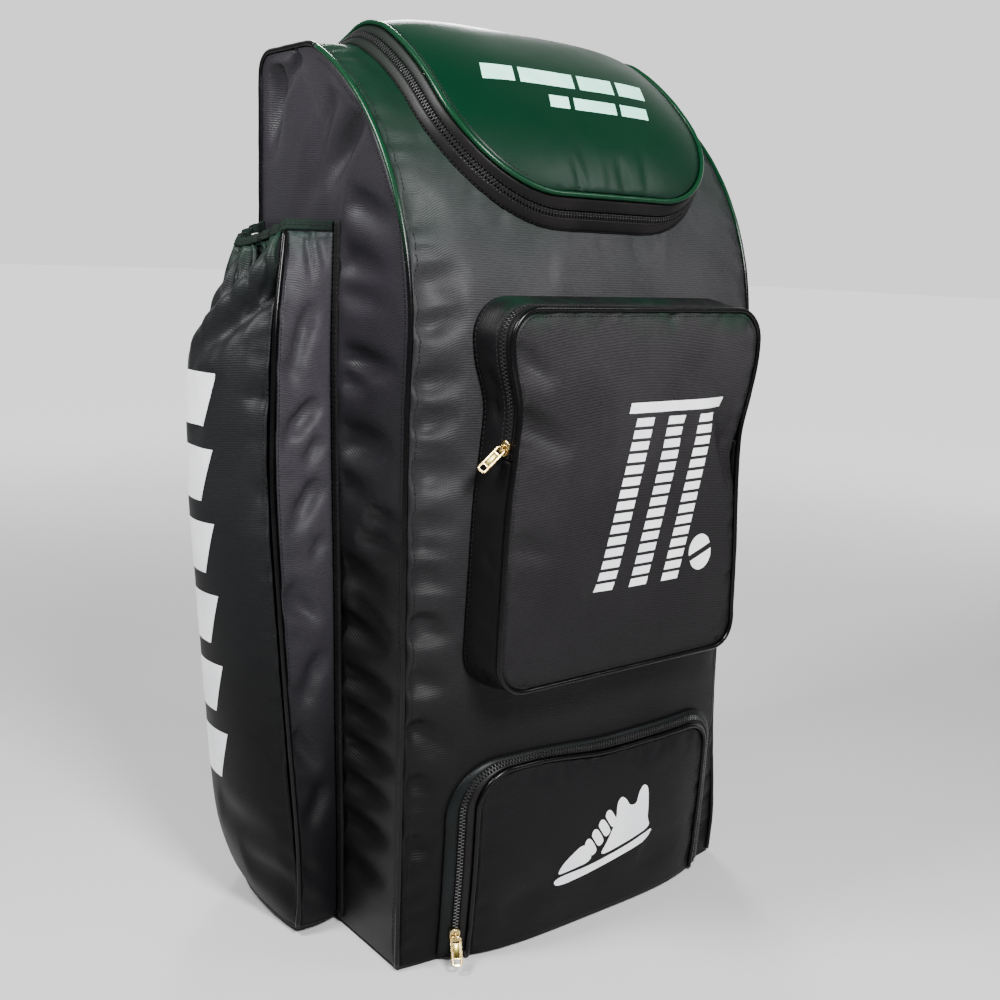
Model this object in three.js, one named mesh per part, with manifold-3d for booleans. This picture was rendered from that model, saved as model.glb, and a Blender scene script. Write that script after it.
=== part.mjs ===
// A cricket kit bag: a tall zipped body of coated nylon panels with a raised lid, a box pocket on the front,
// a shoe pocket at the foot, an open bat pocket on one side, and shoulder straps and a handle on the back.
// Millimetres, +Z up, front towards -Y. The origin is the middle of the base's underside.
// A "run" is a length measured from the base up the front and over the top.
import * as THREE from "three";
import { mergeVertices } from "three/addons/utils/BufferGeometryUtils.js";
import Module from "manifold-3d";

const wasm = await Module();
wasm.setup();

// Cloth and trim
const cloth = 2.2; // padded nylon with its lining
const seamGap = 0.3; // left between pieces that are sewn together
const standOff = 0.7; // left between a pocket and the panel that it is sewn on
const pipingRadius = 2.4;
const zipThickness = 1.8;
const bandThickness = 1.6;

// Body
const bodyWidth = 400;
const bodyDepth = 260;
const bodyHeight = 800;
const shoulderRadius = 262; // the arc over which the front leans back
const shoulderSweep = THREE.MathUtils.degToRad(66.2);
const crestRadius = 50; // the tighter arc between the leaning front and the flat top
const backCornerRadius = 19;
const baseThickness = 3;
const bellyDepth = 28; // how far the front swells out at most
const bellyPower = 4; // how flat the front is across before it falls to its edges
const edgeSway = 11; // how far the front edges wander sideways at most

// Lid
const lidWidth = bodyWidth * 0.8; // at its seam on the body
const lidLength = 285; // along the run, from its seam at the front to the end of its zip
const lidCorner = 115;
const lidHeight = 24;
const lidInset = { across: 12, along: 22, corner: 27 }; // how its outline shrinks from seam to piping
const lidRearMargin = 15; // where its zip stops short of the top's back edge
const lidDome = 9;
const lidTaperLength = 90; // over which its lift dies away towards the back
const lidOverlap = 8; // of its back end, sewn down on the top
const lidZipLevels = [0.39, 0.55]; // shares of the wall's height between which the zip lies
const lidSliderShare = 0.4; // of the zip's straight right side, where its slider is parked

// Front pocket
const frontPocketWidth = 292;
const frontPocketFoot = 264;
const frontPocketHeight = 321;
const frontPocketCorner = 28;
const frontPocketDepth = 39;
const frontPocketFlare = 6; // how much wider the gusset is where it meets the body
const frontPocketZipWidth = 7;
const frontPocketZipInset = 7; // from the piping to the zip
const frontPocketZipEnd = 463; // height at which the zip ends on either side
const frontPocketDome = 7;
const frontPocketPinch = 15; // how far its side edges are drawn in at most

// Shoe pocket
const shoePocketLeft = 162;
const shoePocketRight = 178;
const shoePocketHead = 190;
const shoePocketCorner = 50;
const shoePocketHeight = 12;
const shoePocketInset = { across: 25, along: 9, corner: 16 };
const shoePocketDome = 9;
const shoePocketSag = 10;
const shoeZipLevels = [0.4, 0.62];
const shoeSliderHeight = 27;

// Side pocket
const sidePocketHead = 650;
const sidePocketFoot = 9;
const sidePocketLength = 150; // from its rear seam forwards
const sidePocketRear = 122;
const sidePocketGusset = 61;
const sidePocketSwell = 43;
const sidePocketDip = 17; // how far the elastic mouth dips at its outer middle
const gatherDepth = 3;
const gatherCount = 7;
const gatherLength = 110;
const elasticWidth = 9;
const elasticThickness = 3;
const bindingWidth = 9;
const bindingThickness = 2;

// Sliders and pull tabs
const sliderLength = 13;
const sliderWidth = 9;
const sliderThickness = 3;
const bridgeWidth = 2.4;
const bridgeBar = 1.3;
const tabThickness = 1.5;
const eyeClearance = 0.55; // between the tab's eye and the bridge
const tabLength = 27;
const tabWidth = 10;
const tabRim = 1.9; // of metal beside each opening of the tab
const tabHole = 4.5; // length of the opening at its free end
const frontTabSwing = THREE.MathUtils.degToRad(32); // how far each tab stands out at rest
const frontSliderLean = THREE.MathUtils.degToRad(24);
const shoeTabSwing = THREE.MathUtils.degToRad(55);

// Straps on the back
const strapWidth = 62;
const strapThickness = 9;
const strapSpacing = 150; // between the straps' middles
const strapHead = bodyHeight * 0.89;
const strapLength = 390;
const strapStandOff = 24;
const strapAnchor = 34; // of each end, lying flat on the back
const webbingWidth = 26;
const webbingThickness = 1.8;
const webbingFoot = 60;
const webbingStandOff = 12;
const handleWidth = 24;
const handleThickness = 4;
const handleSpan = 120;
const handleRise = 26;
const handleDrop = 34; // from the top to the handle's middle

// Each table's lengths are shares of the sizes named beside it.
// Of the run; of bellyDepth.
const bellyRows = [
  { run: 0, belly: 0.32 },
  { run: 0.04, belly: 0.5 },
  { run: 0.11, belly: 0.71 },
  { run: 0.27, belly: 0.9 },
  { run: 0.45, belly: 1 },
  { run: 0.6, belly: 0.79 },
  { run: 0.7, belly: 0.54 },
  { run: 0.8, belly: 0.39 },
  { run: 0.91, belly: 0.29 },
  { run: 1, belly: 0.1 },
];
// Of the run; of edgeSway, outwards.
const edgeRows = [
  { run: 0, left: 0, right: 0 },
  { run: 0.05, left: 0, right: 0.25 },
  { run: 0.16, left: 0, right: -0.7 },
  { run: 0.25, left: 0, right: -1 },
  { run: 0.38, left: 0.1, right: -0.6 },
  { run: 0.52, left: 0.2, right: -0.2 },
  { run: 0.62, left: 0, right: 0 },
  { run: 1, left: 0, right: 0 },
];
// Of the front pocket's height; of frontPocketPinch, inwards.
const pinchRows = [
  { height: 0, left: 0.05, right: 0.25 },
  { height: 0.08, left: 0, right: 0.5 },
  { height: 0.3, left: 0.1, right: 0.7 },
  { height: 0.5, left: 0.25, right: 1 },
  { height: 0.65, left: 0.6, right: 1 },
  { height: 0.76, left: 0.75, right: 0.4 },
  { height: 0.87, left: 0.2, right: -0.05 },
  { height: 1, left: 0, right: 0 },
];
// Of the side pocket's height; seam and piping of its length, forwards; gusset and swell of theirs.
const sidePocketRows = [
  { height: 0, seam: 1, piping: 1.02, gusset: 0.74, swell: 0.05 },
  { height: 0.05, seam: 0.99, piping: 1.03, gusset: 0.72, swell: 0.47 },
  { height: 0.13, seam: 0.985, piping: 1.02, gusset: 0.74, swell: 0.79 },
  { height: 0.28, seam: 0.95, piping: 0.97, gusset: 0.82, swell: 0.88 },
  { height: 0.47, seam: 0.92, piping: 0.93, gusset: 0.93, swell: 0.93 },
  { height: 0.65, seam: 0.88, piping: 0.89, gusset: 1, swell: 1 },
  { height: 0.8, seam: 0.855, piping: 0.89, gusset: 0.98, swell: 0.98 },
  { height: 0.87, seam: 0.855, piping: 0.87, gusset: 0.92, swell: 0.7 },
  { height: 0.94, seam: 0.865, piping: 0.8, gusset: 0.75, swell: 0.42 },
  { height: 1, seam: 0.87, piping: 0.73, gusset: 0.59, swell: 0.19 },
];
// Folds run from one place on a panel to another and sink by their depth, over their width on each side.
// Fronts: of half the width and of the run. Widths and depths of foldWidth and foldDepth.
const foldWidth = 14;
const foldDepth = 5;
const frontFolds = [
  { fromX: -0.98, fromUp: 0.635, toX: -0.79, toUp: 0.65, width: 0.9, depth: 0.8 },
  { fromX: -0.98, fromUp: 0.595, toX: -0.79, toUp: 0.615, width: 0.8, depth: 1 },
  { fromX: -0.98, fromUp: 0.55, toX: -0.79, toUp: 0.56, width: 0.8, depth: 0.8 },
  { fromX: -0.98, fromUp: 0.5, toX: -0.79, toUp: 0.52, width: 0.8, depth: 1 },
  { fromX: -0.98, fromUp: 0.43, toX: -0.79, toUp: 0.445, width: 0.9, depth: 0.7 },
  { fromX: -0.98, fromUp: 0.32, toX: -0.79, toUp: 0.3, width: 0.9, depth: 0.8 },
  { fromX: -0.98, fromUp: 0.24, toX: -0.83, toUp: 0.22, width: 1, depth: 0.8 },
];
// Sides: of the depth, from the front edge, and of the height.
const leftSideFolds = [
  { fromX: 0.6, fromUp: 0.97, toX: 0.95, toUp: 0.86, width: 1, depth: 0.8 },
  { fromX: 0.82, fromUp: 0.98, toX: 0.88, toUp: 0.92, width: 0.7, depth: 1.3 },
  { fromX: 0.33, fromUp: 0.92, toX: 0.62, toUp: 0.83, width: 0.9, depth: 0.6 },
  { fromX: 0.38, fromUp: 0.71, toX: 0.01, toUp: 0.685, width: 1, depth: 1.2 },
  { fromX: 0.38, fromUp: 0.625, toX: 0.01, toUp: 0.615, width: 0.9, depth: 1 },
  { fromX: 0.38, fromUp: 0.55, toX: 0.01, toUp: 0.56, width: 0.9, depth: 0.8 },
  { fromX: 0.38, fromUp: 0.465, toX: 0.01, toUp: 0.48, width: 1, depth: 1 },
  { fromX: 0.37, fromUp: 0.375, toX: 0.01, toUp: 0.383, width: 1, depth: 0.8 },
  { fromX: 0.36, fromUp: 0.28, toX: 0.01, toUp: 0.297, width: 1, depth: 0.8 },
  { fromX: 0.35, fromUp: 0.187, toX: 0.01, toUp: 0.2, width: 1, depth: 0.8 },
];
const rightSideFolds = [
  { fromX: 0.9, fromUp: 0.7, toX: 0.05, toUp: 0.65, width: 1.3, depth: 1 },
  { fromX: 0.9, fromUp: 0.475, toX: 0.05, toUp: 0.5, width: 1.3, depth: 1 },
  { fromX: 0.92, fromUp: 0.24, toX: 0.05, toUp: 0.28, width: 1.4, depth: 1.2 },
];
// Front pocket: of half its width and of its height.
const frontPocketFolds = [
  { fromX: -0.97, fromUp: 0.74, toX: -0.55, toUp: 0.62, width: 1, depth: 1.2 },
  { fromX: -0.97, fromUp: 0.91, toX: -0.7, toUp: 0.8, width: 0.7, depth: 0.8 },
  { fromX: 0.95, fromUp: 0.5, toX: 0.6, toUp: 0.8, width: 1, depth: 1.2 },
  { fromX: -0.95, fromUp: 0.42, toX: -0.6, toUp: 0.34, width: 0.9, depth: 0.6 },
];

// Places that follow from the sizes
const halfWidth = bodyWidth / 2;
const frontY = -bodyDepth / 2;
const backY = bodyDepth / 2;
const pipingInset = pipingRadius + seamGap; // from an edge's piping to the panels on either side
const crestRise = crestRadius * (1 - Math.sin(shoulderSweep));
const shoulderStart = bodyHeight - crestRise - shoulderRadius * Math.sin(shoulderSweep);
const shoulderEnd = shoulderStart + shoulderRadius * shoulderSweep;
const crestEnd = shoulderEnd + crestRadius * (Math.PI / 2 - shoulderSweep);
const shoulderBack = frontY + shoulderRadius * (1 - Math.cos(shoulderSweep));
const topFront = shoulderBack + crestRadius * Math.cos(shoulderSweep);
const topBack = backY - backCornerRadius;
const runLength = crestEnd + topBack - topFront;
const lidRear = runLength - lidRearMargin;
const panelFoot = baseThickness + seamGap;

const mix = (a, b, t) => a + (b - a) * t;
const clamp = (v, low, high) => Math.min(high, Math.max(low, v));
const smooth = (t) => clamp(t, 0, 1) ** 2 * (3 - 2 * clamp(t, 0, 1));
const spread = (count, from = 0, to = 1) =>
  Array.from({ length: count + 1 }, (_, i) => mix(from, to, i / count));

// A table's column at a place along it, on a smooth curve through the rows.
function columnAt(rows, along, column, place) {
  const last = rows.length - 1;
  const p = clamp(place, rows[0][along], rows[last][along]);
  let k = 0;
  while (k < last - 1 && rows[k + 1][along] < p) k++;
  const slope = (j) => {
    const low = rows[Math.max(j - 1, 0)];
    const high = rows[Math.min(j + 1, last)];
    return (high[column] - low[column]) / (high[along] - low[along]);
  };
  const span = rows[k + 1][along] - rows[k][along];
  const t = (p - rows[k][along]) / span;
  const rise = rows[k + 1][column] - rows[k][column];
  const bend = t * (1 - t) * ((slope(k) * span - rise) * (1 - t) - (slope(k + 1) * span - rise) * t);
  return rows[k][column] + rise * t + bend;
}

// How deep a table's folds are at a place. Both ends of a fold run out to nothing.
function foldAt(folds, x, up, xSize, upSize) {
  let depth = 0;
  for (const f of folds) {
    const dx = (f.toX - f.fromX) * xSize;
    const dy = (f.toUp - f.fromUp) * upSize;
    const px = (x - f.fromX) * xSize;
    const py = (up - f.fromUp) * upSize;
    const t = clamp((px * dx + py * dy) / (dx * dx + dy * dy), 0, 1);
    const away = Math.hypot(px - dx * t, py - dy * t) / (f.width * foldWidth);
    depth += f.depth * foldDepth * Math.sin(Math.PI * t ** 0.6) * Math.exp(-away * away);
  }
  return depth;
}

// The body's outline from the side at a run: a point of the front edge, and the way out from it.
function profile(run) {
  if (run <= shoulderStart) return { y: frontY, z: run, ny: -1, nz: 0 };
  if (run <= shoulderEnd) {
    const a = (run - shoulderStart) / shoulderRadius;
    const y = frontY + shoulderRadius * (1 - Math.cos(a));
    return { y, z: shoulderStart + shoulderRadius * Math.sin(a), ny: -Math.cos(a), nz: Math.sin(a) };
  }
  if (run >= crestEnd) return { y: topFront + run - crestEnd, z: bodyHeight, ny: 0, nz: 1 };
  const a = shoulderSweep + (run - shoulderEnd) / crestRadius;
  const y = topFront - crestRadius * Math.cos(a);
  return { y, z: bodyHeight - crestRadius * (1 - Math.sin(a)), ny: -Math.cos(a), nz: Math.sin(a) };
}

function edgePoint(side, run, inset = 0) {
  const p = profile(run);
  const sway = edgeSway * columnAt(edgeRows, "run", side < 0 ? "left" : "right", run / runLength);
  return new THREE.Vector3(side * (halfWidth + sway), p.y - p.ny * inset, p.z - p.nz * inset);
}

// A point on the front of the body, lifted off it.
function frontPoint(x, run, lift = 0) {
  const p = profile(run);
  const share = clamp(x / halfWidth, -1, 1);
  const belly = bellyDepth * columnAt(bellyRows, "run", "belly", run / runLength);
  const swell = belly * (1 - Math.abs(share) ** bellyPower);
  const out = swell + lift - foldAt(frontFolds, share, run / runLength, halfWidth, runLength);
  return new THREE.Vector3(x, p.y + p.ny * out, p.z + p.nz * out);
}

// A closed solid from rows of points on its outer face, with its inner face a thickness behind them.
// Seen from outside the points run to the right and the rows upwards. A ring's rows close on themselves.
function sheetSolid(rows, thickness, ring = false) {
  const columns = rows[0].length;
  const lastRow = rows.length - 1;
  const column = (i) => (ring ? (i + columns) % columns : clamp(i, 0, columns - 1));
  const at = (j, i) => rows[clamp(j, 0, lastRow)][column(i)];
  const inner = rows.map((row, j) =>
    row.map((p, i) => {
      const alongRow = at(j, i + 1).clone().sub(at(j, i - 1));
      const alongColumn = at(j + 1, i).clone().sub(at(j - 1, i));
      return p.clone().addScaledVector(alongRow.cross(alongColumn).normalize(), -thickness);
    }),
  );
  const positions = [...rows.flat(), ...inner.flat()].flatMap((p) => [p.x, p.y, p.z]);
  const behind = rows.length * columns;
  const index = [];
  const quad = (a, b, c, d) => index.push(a, b, c, a, c, d);
  const vertex = (j, i) => j * columns + column(i);
  const spans = ring ? columns : columns - 1;
  for (let j = 0; j < lastRow; j++) {
    for (let i = 0; i < spans; i++) {
      const [a, b, c, d] = [vertex(j, i), vertex(j, i + 1), vertex(j + 1, i + 1), vertex(j + 1, i)];
      quad(a, b, c, d);
      quad(behind + d, behind + c, behind + b, behind + a);
    }
  }
  for (let i = 0; i < spans; i++) {
    const [a, b] = [vertex(0, i), vertex(0, i + 1)];
    const [c, d] = [vertex(lastRow, i + 1), vertex(lastRow, i)];
    quad(b, a, behind + a, behind + b);
    quad(d, c, behind + c, behind + d);
  }
  for (let j = 0; j < lastRow && !ring; j++) {
    const [a, d] = [vertex(j, 0), vertex(j + 1, 0)];
    const [b, c] = [vertex(j, columns - 1), vertex(j + 1, columns - 1)];
    quad(a, d, behind + d, behind + a);
    quad(c, b, behind + b, behind + c);
  }
  const geometry = new THREE.BufferGeometry();
  geometry.setAttribute("position", new THREE.Float32BufferAttribute(positions, 3));
  geometry.setIndex(index);
  return geometry;
}

// A round cord through the middles of its rings. One side of each ring keeps facing the same way.
function cordSolid(points, radius, facing, ring = false, sides = 5) {
  const last = points.length - 1;
  const at = (i) => points[ring ? (i + points.length) % points.length : clamp(i, 0, last)];
  let normal = facing.clone();
  const positions = [];
  points.forEach((p, i) => {
    const along = at(i + 1).clone().sub(at(i - 1)).normalize();
    normal.addScaledVector(along, -normal.dot(along)).normalize();
    const across = along.clone().cross(normal);
    for (let k = 0; k < sides; k++) {
      const a = (2 * Math.PI * k) / sides;
      const q = p.clone().addScaledVector(normal, radius * Math.cos(a));
      q.addScaledVector(across, radius * Math.sin(a));
      positions.push(q.x, q.y, q.z);
    }
  });
  const index = [];
  for (let i = 0; i < (ring ? last + 1 : last); i++) {
    for (let k = 0; k < sides; k++) {
      const next = ((i + 1) % points.length) * sides;
      const [a, b] = [i * sides + k, i * sides + ((k + 1) % sides)];
      const [c, d] = [next + ((k + 1) % sides), next + k];
      index.push(a, b, c, a, c, d);
    }
  }
  for (let k = 1; k < sides - 1 && !ring; k++) {
    index.push(0, k + 1, k);
    index.push(last * sides, last * sides + k, last * sides + k + 1);
  }
  const geometry = new THREE.BufferGeometry();
  geometry.setAttribute("position", new THREE.Float32BufferAttribute(positions, 3));
  geometry.setIndex(index);
  return geometry;
}

function solidOf(geometry) {
  const plain = geometry.index ? geometry.clone() : geometry;
  plain.deleteAttribute("normal");
  plain.deleteAttribute("uv");
  const merged = mergeVertices(plain, 1e-4);
  return new wasm.Manifold(
    new wasm.Mesh({
      numProp: 3,
      vertProperties: merged.attributes.position.array,
      triVerts: new Uint32Array(merged.index.array),
    }),
  );
}

function geometryOf(solid) {
  const mesh = solid.getMesh();
  const geometry = new THREE.BufferGeometry();
  geometry.setAttribute("position", new THREE.Float32BufferAttribute(mesh.vertProperties, 3));
  geometry.setIndex([...mesh.triVerts]);
  return geometry;
}

// Outlines with rounded corners. A row is a place up the outline: on a corner's arc or between the corners.
function outlineRows(footSteps, sides, headSteps) {
  const foot = footSteps ? spread(footSteps).slice(0, -1).map((t) => ({ part: "foot", t })) : [];
  const side = sides.map((t) => ({ part: "side", t }));
  const head = headSteps ? spread(headSteps).slice(1).map((t) => ({ part: "head", t })) : [];
  return [...foot, ...side, ...head];
}

function outlinePoint(size, row, share) {
  const angle = (row.t * Math.PI) / 2;
  let up = mix(size.foot + size.footCorner, size.head - size.headCorner, row.t);
  let inset = 0;
  if (row.part === "foot") {
    up = size.foot + size.footCorner * (1 - Math.cos(angle));
    inset = size.footCorner * (1 - Math.sin(angle));
  } else if (row.part === "head") {
    up = size.head - size.headCorner * (1 - Math.sin(angle));
    inset = size.headCorner * (1 - Math.cos(angle));
  }
  const reach = share < 0 ? size.left : size.right;
  return { x: share * (reach - inset), up };
}

// Ways round an outline, clockwise from the front: up the left side, across the head, down the right side
// and back across the foot. Each place on a way has a row and a share of the way across.
const upLeft = (rows) => rows.map((row) => ({ row, share: -1 }));
const downRight = (rows) => rows.map((row) => ({ row, share: 1 })).reverse();
const acrossHead = (rows, shares) => shares.slice(1, -1).map((share) => ({ row: rows.at(-1), share }));
const acrossFoot = (rows, shares) => shares.slice(1, -1).map((share) => ({ row: rows[0], share })).reverse();

// A strip round a pocket's wall. Each of its edges is a level (0 at the body, 1 at the pocket's face) and a
// length past it up the wall.
function wallStrip(place, way, low, high, thickness, ring = false) {
  const rows = [high, low].map((edge) =>
    way.map((p) => {
      const { level, past } = typeof edge === "function" ? edge(p) : edge;
      const wall = place(p.row, p.share, 0).distanceTo(place(p.row, p.share, 1));
      return place(p.row, p.share, level + past / wall);
    }),
  );
  return sheetSolid(rows, thickness, ring);
}
const edgeAt = (level, past = 0) => ({ level, past });
const belowPiping = edgeAt(1, -pipingInset);

// Materials
const finish = (color, roughness, metalness = 0) =>
  new THREE.MeshStandardMaterial({ color, roughness, metalness });
const blackNylon = finish(0x1c1b1f, 0.55);
const greenNylon = finish(0x0b3f26, 0.4);
const pocketNylon = finish(0x242227, 0.6);
const bandVinyl = finish(0x2a2527, 0.4);
const zipTape = finish(0x101012, 0.6);
const pipingVinyl = finish(0x141416, 0.3);
const elasticTape = finish(0x12241b, 0.75);
const goldMetal = finish(0xc9b27a, 0.3, 1);
const strapMesh = finish(0x17171a, 0.85);

const bag = new THREE.Group();
function add(name, geometry, material) {
  const mesh = new THREE.Mesh(geometry, material);
  mesh.name = name;
  bag.add(mesh);
  return mesh;
}

// Lid
const lidRows = outlineRows(6, spread(9), 0);
const lidShares = spread(8, -1, 1);
function lidSize(level, inset = 0, overlap = 0) {
  const across = lidWidth / 2 - lidInset.across * level - inset;
  return {
    left: across,
    right: across,
    foot: lidRear - lidLength + lidInset.along * level + inset,
    head: lidRear + overlap,
    footCorner: lidCorner - lidInset.corner * level - inset,
    headCorner: 0,
  };
}

const rearLift = (cloth + seamGap) / lidHeight; // the share of the lift that is left at the lid's back end
function lidPlace(row, share, level, inset = 0, overlap = 0, lift = 0) {
  const p = outlinePoint(lidSize(level, inset, overlap), row, share);
  const taper = mix(rearLift, 1, smooth((lidRear - p.up) / lidTaperLength));
  return frontPoint(p.x, p.up, lidHeight * level * taper + lift);
}

function lidPanel() {
  const points = lidRows.map((row, j) => {
    const up = j / (lidRows.length - 1);
    const dome = lidDome * (1 - (2 * up - 1) ** 4);
    return lidShares.map((share) =>
      lidPlace(row, share, 1, pipingInset, lidOverlap, dome * (1 - share ** 4)),
    );
  });
  return sheetSolid(points, cloth);
}

function buildLid() {
  const way = [...downRight(lidRows), ...acrossFoot(lidRows, lidShares), ...upLeft(lidRows)];
  const [zipLow, zipHigh] = lidZipLevels;
  const strip = (low, high, thickness) => wallStrip(lidPlace, way, low, high, thickness);
  add("lid_panel", lidPanel(), greenNylon);
  add("lid_lower_band", strip(edgeAt(0, seamGap), edgeAt(zipLow, -seamGap), bandThickness), bandVinyl);
  add("lid_zip", strip(edgeAt(zipLow), edgeAt(zipHigh), zipThickness), zipTape);
  add("lid_upper_band", strip(edgeAt(zipHigh, seamGap), belowPiping, bandThickness), bandVinyl);
  const level = (zipLow + zipHigh) / 2;
  const on = (t, l) => lidPlace({ part: "side", t }, 1, l);
  const at = on(lidSliderShare, level);
  const towardsPull = on(lidSliderShare - 0.05, level);
  addPlainSlider("lid_slider", sliderAxes(1, at, towardsPull, on(lidSliderShare, 0)));
  const rim = way.map((p) => lidPlace(p.row, p.share, 1));
  add("lid_piping", cordSolid(rim, pipingRadius, new THREE.Vector3(1, 0, 0)), pipingVinyl);
}

// The body's panels
const frontShares = [-1, -0.95, -0.89, -0.8, -0.5, -0.17, 0.17, 0.5, 0.8, 1];
const frontRuns = [
  ...spread(20, 0, shoulderStart).slice(0, -1),
  ...spread(12, shoulderStart, shoulderEnd),
  ...spread(3, shoulderEnd, crestEnd).slice(1),
  runLength - 2 * seamGap,
];

function frontPanel() {
  const points = frontRuns.map((run, j) => {
    const low = Math.max(run, panelFoot);
    const left = edgePoint(-1, low).x + pipingInset;
    const right = edgePoint(1, low).x - pipingInset;
    return frontShares.map((share) => frontPoint(mix(left, right, (share + 1) / 2), low));
  });
  const sheet = sheetSolid(points, cloth);
  const spare = 4 * seamGap; // by which the cut passes through on either side
  const hole = lidRows.map((row) =>
    lidShares.map((share) => lidPlace(row, share, 0, -2 * seamGap, 2 * seamGap, spare)),
  );
  return geometryOf(solidOf(sheet).subtract(solidOf(sheetSolid(hole, cloth + 2 * spare))));
}

// How far back a side reaches at a height, inside the rounded back corner.
function sideRear(z) {
  const rise = Math.max(0, z - (bodyHeight - backCornerRadius));
  const radius = backCornerRadius - pipingInset;
  return topBack + Math.sqrt(Math.max(0, radius * radius - rise * rise));
}

function sidePanel(side, folds, columns, straightRows, archRows) {
  const runs = [
    ...spread(straightRows, 0, shoulderStart).slice(0, -1),
    ...spread(archRows, shoulderStart, shoulderEnd),
    crestEnd,
  ];
  const points = runs.map((run) => {
    const front = edgePoint(side, Math.max(run, panelFoot), pipingInset);
    const row = columns.map((share) => {
      const z = front.z;
      const y = mix(front.y, sideRear(z), share);
      const pull = mix(1, 0, smooth(4 * share)); // only the front edge sways
      const x = mix(side * halfWidth, front.x, pull);
      const depth = foldAt(folds, (y - frontY) / bodyDepth, z / bodyHeight, bodyDepth, bodyHeight);
      return new THREE.Vector3(x - side * depth, y, z);
    });
    return side < 0 ? row.reverse() : row;
  });
  return sheetSolid(points, cloth);
}

function backPanel() {
  const points = spread(3, panelFoot, bodyHeight - backCornerRadius).map((z) => [backY, z]);
  const sweep = Math.PI / 2 - (2 * seamGap) / backCornerRadius;
  for (const a of spread(6, 0, sweep).slice(1)) {
    points.push([
      topBack + backCornerRadius * Math.cos(a),
      bodyHeight - backCornerRadius * (1 - Math.sin(a)),
    ]);
  }
  const reach = halfWidth - pipingInset;
  return sheetSolid(
    points.map(([y, z]) => spread(4, reach, -reach).map((x) => new THREE.Vector3(x, y, z))),
    cloth,
  );
}

function basePanel() {
  const outline = [
    ...spread(16, -halfWidth, halfWidth).map((x) => new THREE.Vector2(x, frontPoint(x, 0).y)),
    new THREE.Vector2(halfWidth, backY),
    new THREE.Vector2(-halfWidth, backY),
  ];
  return new THREE.ExtrudeGeometry(new THREE.Shape(outline), { depth: baseThickness, bevelEnabled: false });
}

// The piping runs from the foot of a front edge up to the top. The binding goes on from there down the back.
function edgePiping(side) {
  const runs = frontRuns.filter((run) => run <= shoulderEnd);
  const points = runs.map((run) => edgePoint(side, Math.max(run, panelFoot)));
  return cordSolid(points, pipingRadius, new THREE.Vector3(1, 0, 0));
}

function rearBinding(side) {
  const x = side * halfWidth;
  const points = frontRuns
    .filter((run) => run > shoulderEnd)
    .map((run) => edgePoint(side, run));
  points.unshift(edgePoint(side, shoulderEnd + 3 * seamGap));
  for (const t of spread(6).slice(1)) {
    const a = ((1 - t) * Math.PI) / 2;
    const y = topBack + backCornerRadius * Math.cos(a);
    points.push(new THREE.Vector3(x, y, bodyHeight - backCornerRadius * (1 - Math.sin(a))));
  }
  points.push(new THREE.Vector3(x, backY, bodyHeight / 2), new THREE.Vector3(x, backY, panelFoot));
  return cordSolid(points, pipingRadius, new THREE.Vector3(1, 0, 0));
}

function buildBody() {
  add("front_panel", frontPanel(), blackNylon);
  const leftColumns = [0, 0.08, 0.16, 0.25, 0.34, 0.45, 0.65, 0.82, 1];
  add("side_panel_left", sidePanel(-1, leftSideFolds, leftColumns, 18, 8), blackNylon);
  add("side_panel_right", sidePanel(1, rightSideFolds, spread(4), 11, 6), blackNylon);
  add("back_panel", backPanel(), blackNylon);
  add("base_panel", basePanel(), blackNylon);
  for (const [name, side] of [["left", -1], ["right", 1]]) {
    add(`edge_piping_${name}`, edgePiping(side), pipingVinyl);
    add(`rear_binding_${name}`, rearBinding(side), pipingVinyl);
  }
}

// Front pocket
const frontPocketFace = frontY - bellyDepth * 0.8 - frontPocketDepth; // y of its piping
const frontPocketSides = frontPocketHeight - 2 * frontPocketCorner;
const zipEndShare = (frontPocketZipEnd - frontPocketFoot - frontPocketCorner) / frontPocketSides;
const zipStep = (2 * seamGap) / frontPocketSides;
const frontPocketRows = outlineRows(
  5,
  [
    ...spread(4, 0, zipEndShare - zipStep),
    zipEndShare,
    zipEndShare + zipStep,
    ...spread(3, zipEndShare, 1).slice(1),
  ],
  5,
);
const zipEndRow = frontPocketRows.findIndex((row) => row.part === "side" && row.t === zipEndShare);
const frontPocketShares = [-1, -0.82, -0.62, -0.3, 0, 0.3, 0.62, 0.82, 1];

function frontPocketPlace(row, share, level, inset = 0) {
  const grow = frontPocketFlare * (1 - level) - inset;
  const size = {
    left: frontPocketWidth / 2 + grow,
    right: frontPocketWidth / 2 + grow,
    foot: frontPocketFoot - grow,
    head: frontPocketFoot + frontPocketHeight + grow,
    footCorner: frontPocketCorner + grow,
    headCorner: frontPocketCorner + grow,
  };
  const p = outlinePoint(size, row, share);
  const height = (p.up - frontPocketFoot) / frontPocketHeight;
  const pinch = frontPocketPinch * columnAt(pinchRows, "height", share < 0 ? "left" : "right", height);
  const x = p.x - share * pinch;
  const body = frontPoint(x, p.up, standOff);
  return new THREE.Vector3(x, mix(body.y, frontPocketFace, level), mix(body.z, p.up, level));
}

function frontPocketPanel() {
  const points = frontPocketRows.map((row) =>
    frontPocketShares.map((share) => {
      const p = frontPocketPlace(row, share, 1, pipingInset);
      const up = (p.z - frontPocketFoot) / frontPocketHeight;
      const across = p.x / (frontPocketWidth / 2);
      const dome = frontPocketDome * (1 - share ** 4) * (1 - (2 * up - 1) ** 4);
      const depth = foldAt(frontPocketFolds, across, up, frontPocketWidth / 2, frontPocketHeight);
      p.y -= dome - depth;
      return p;
    }),
  );
  return sheetSolid(points, cloth);
}

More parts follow.
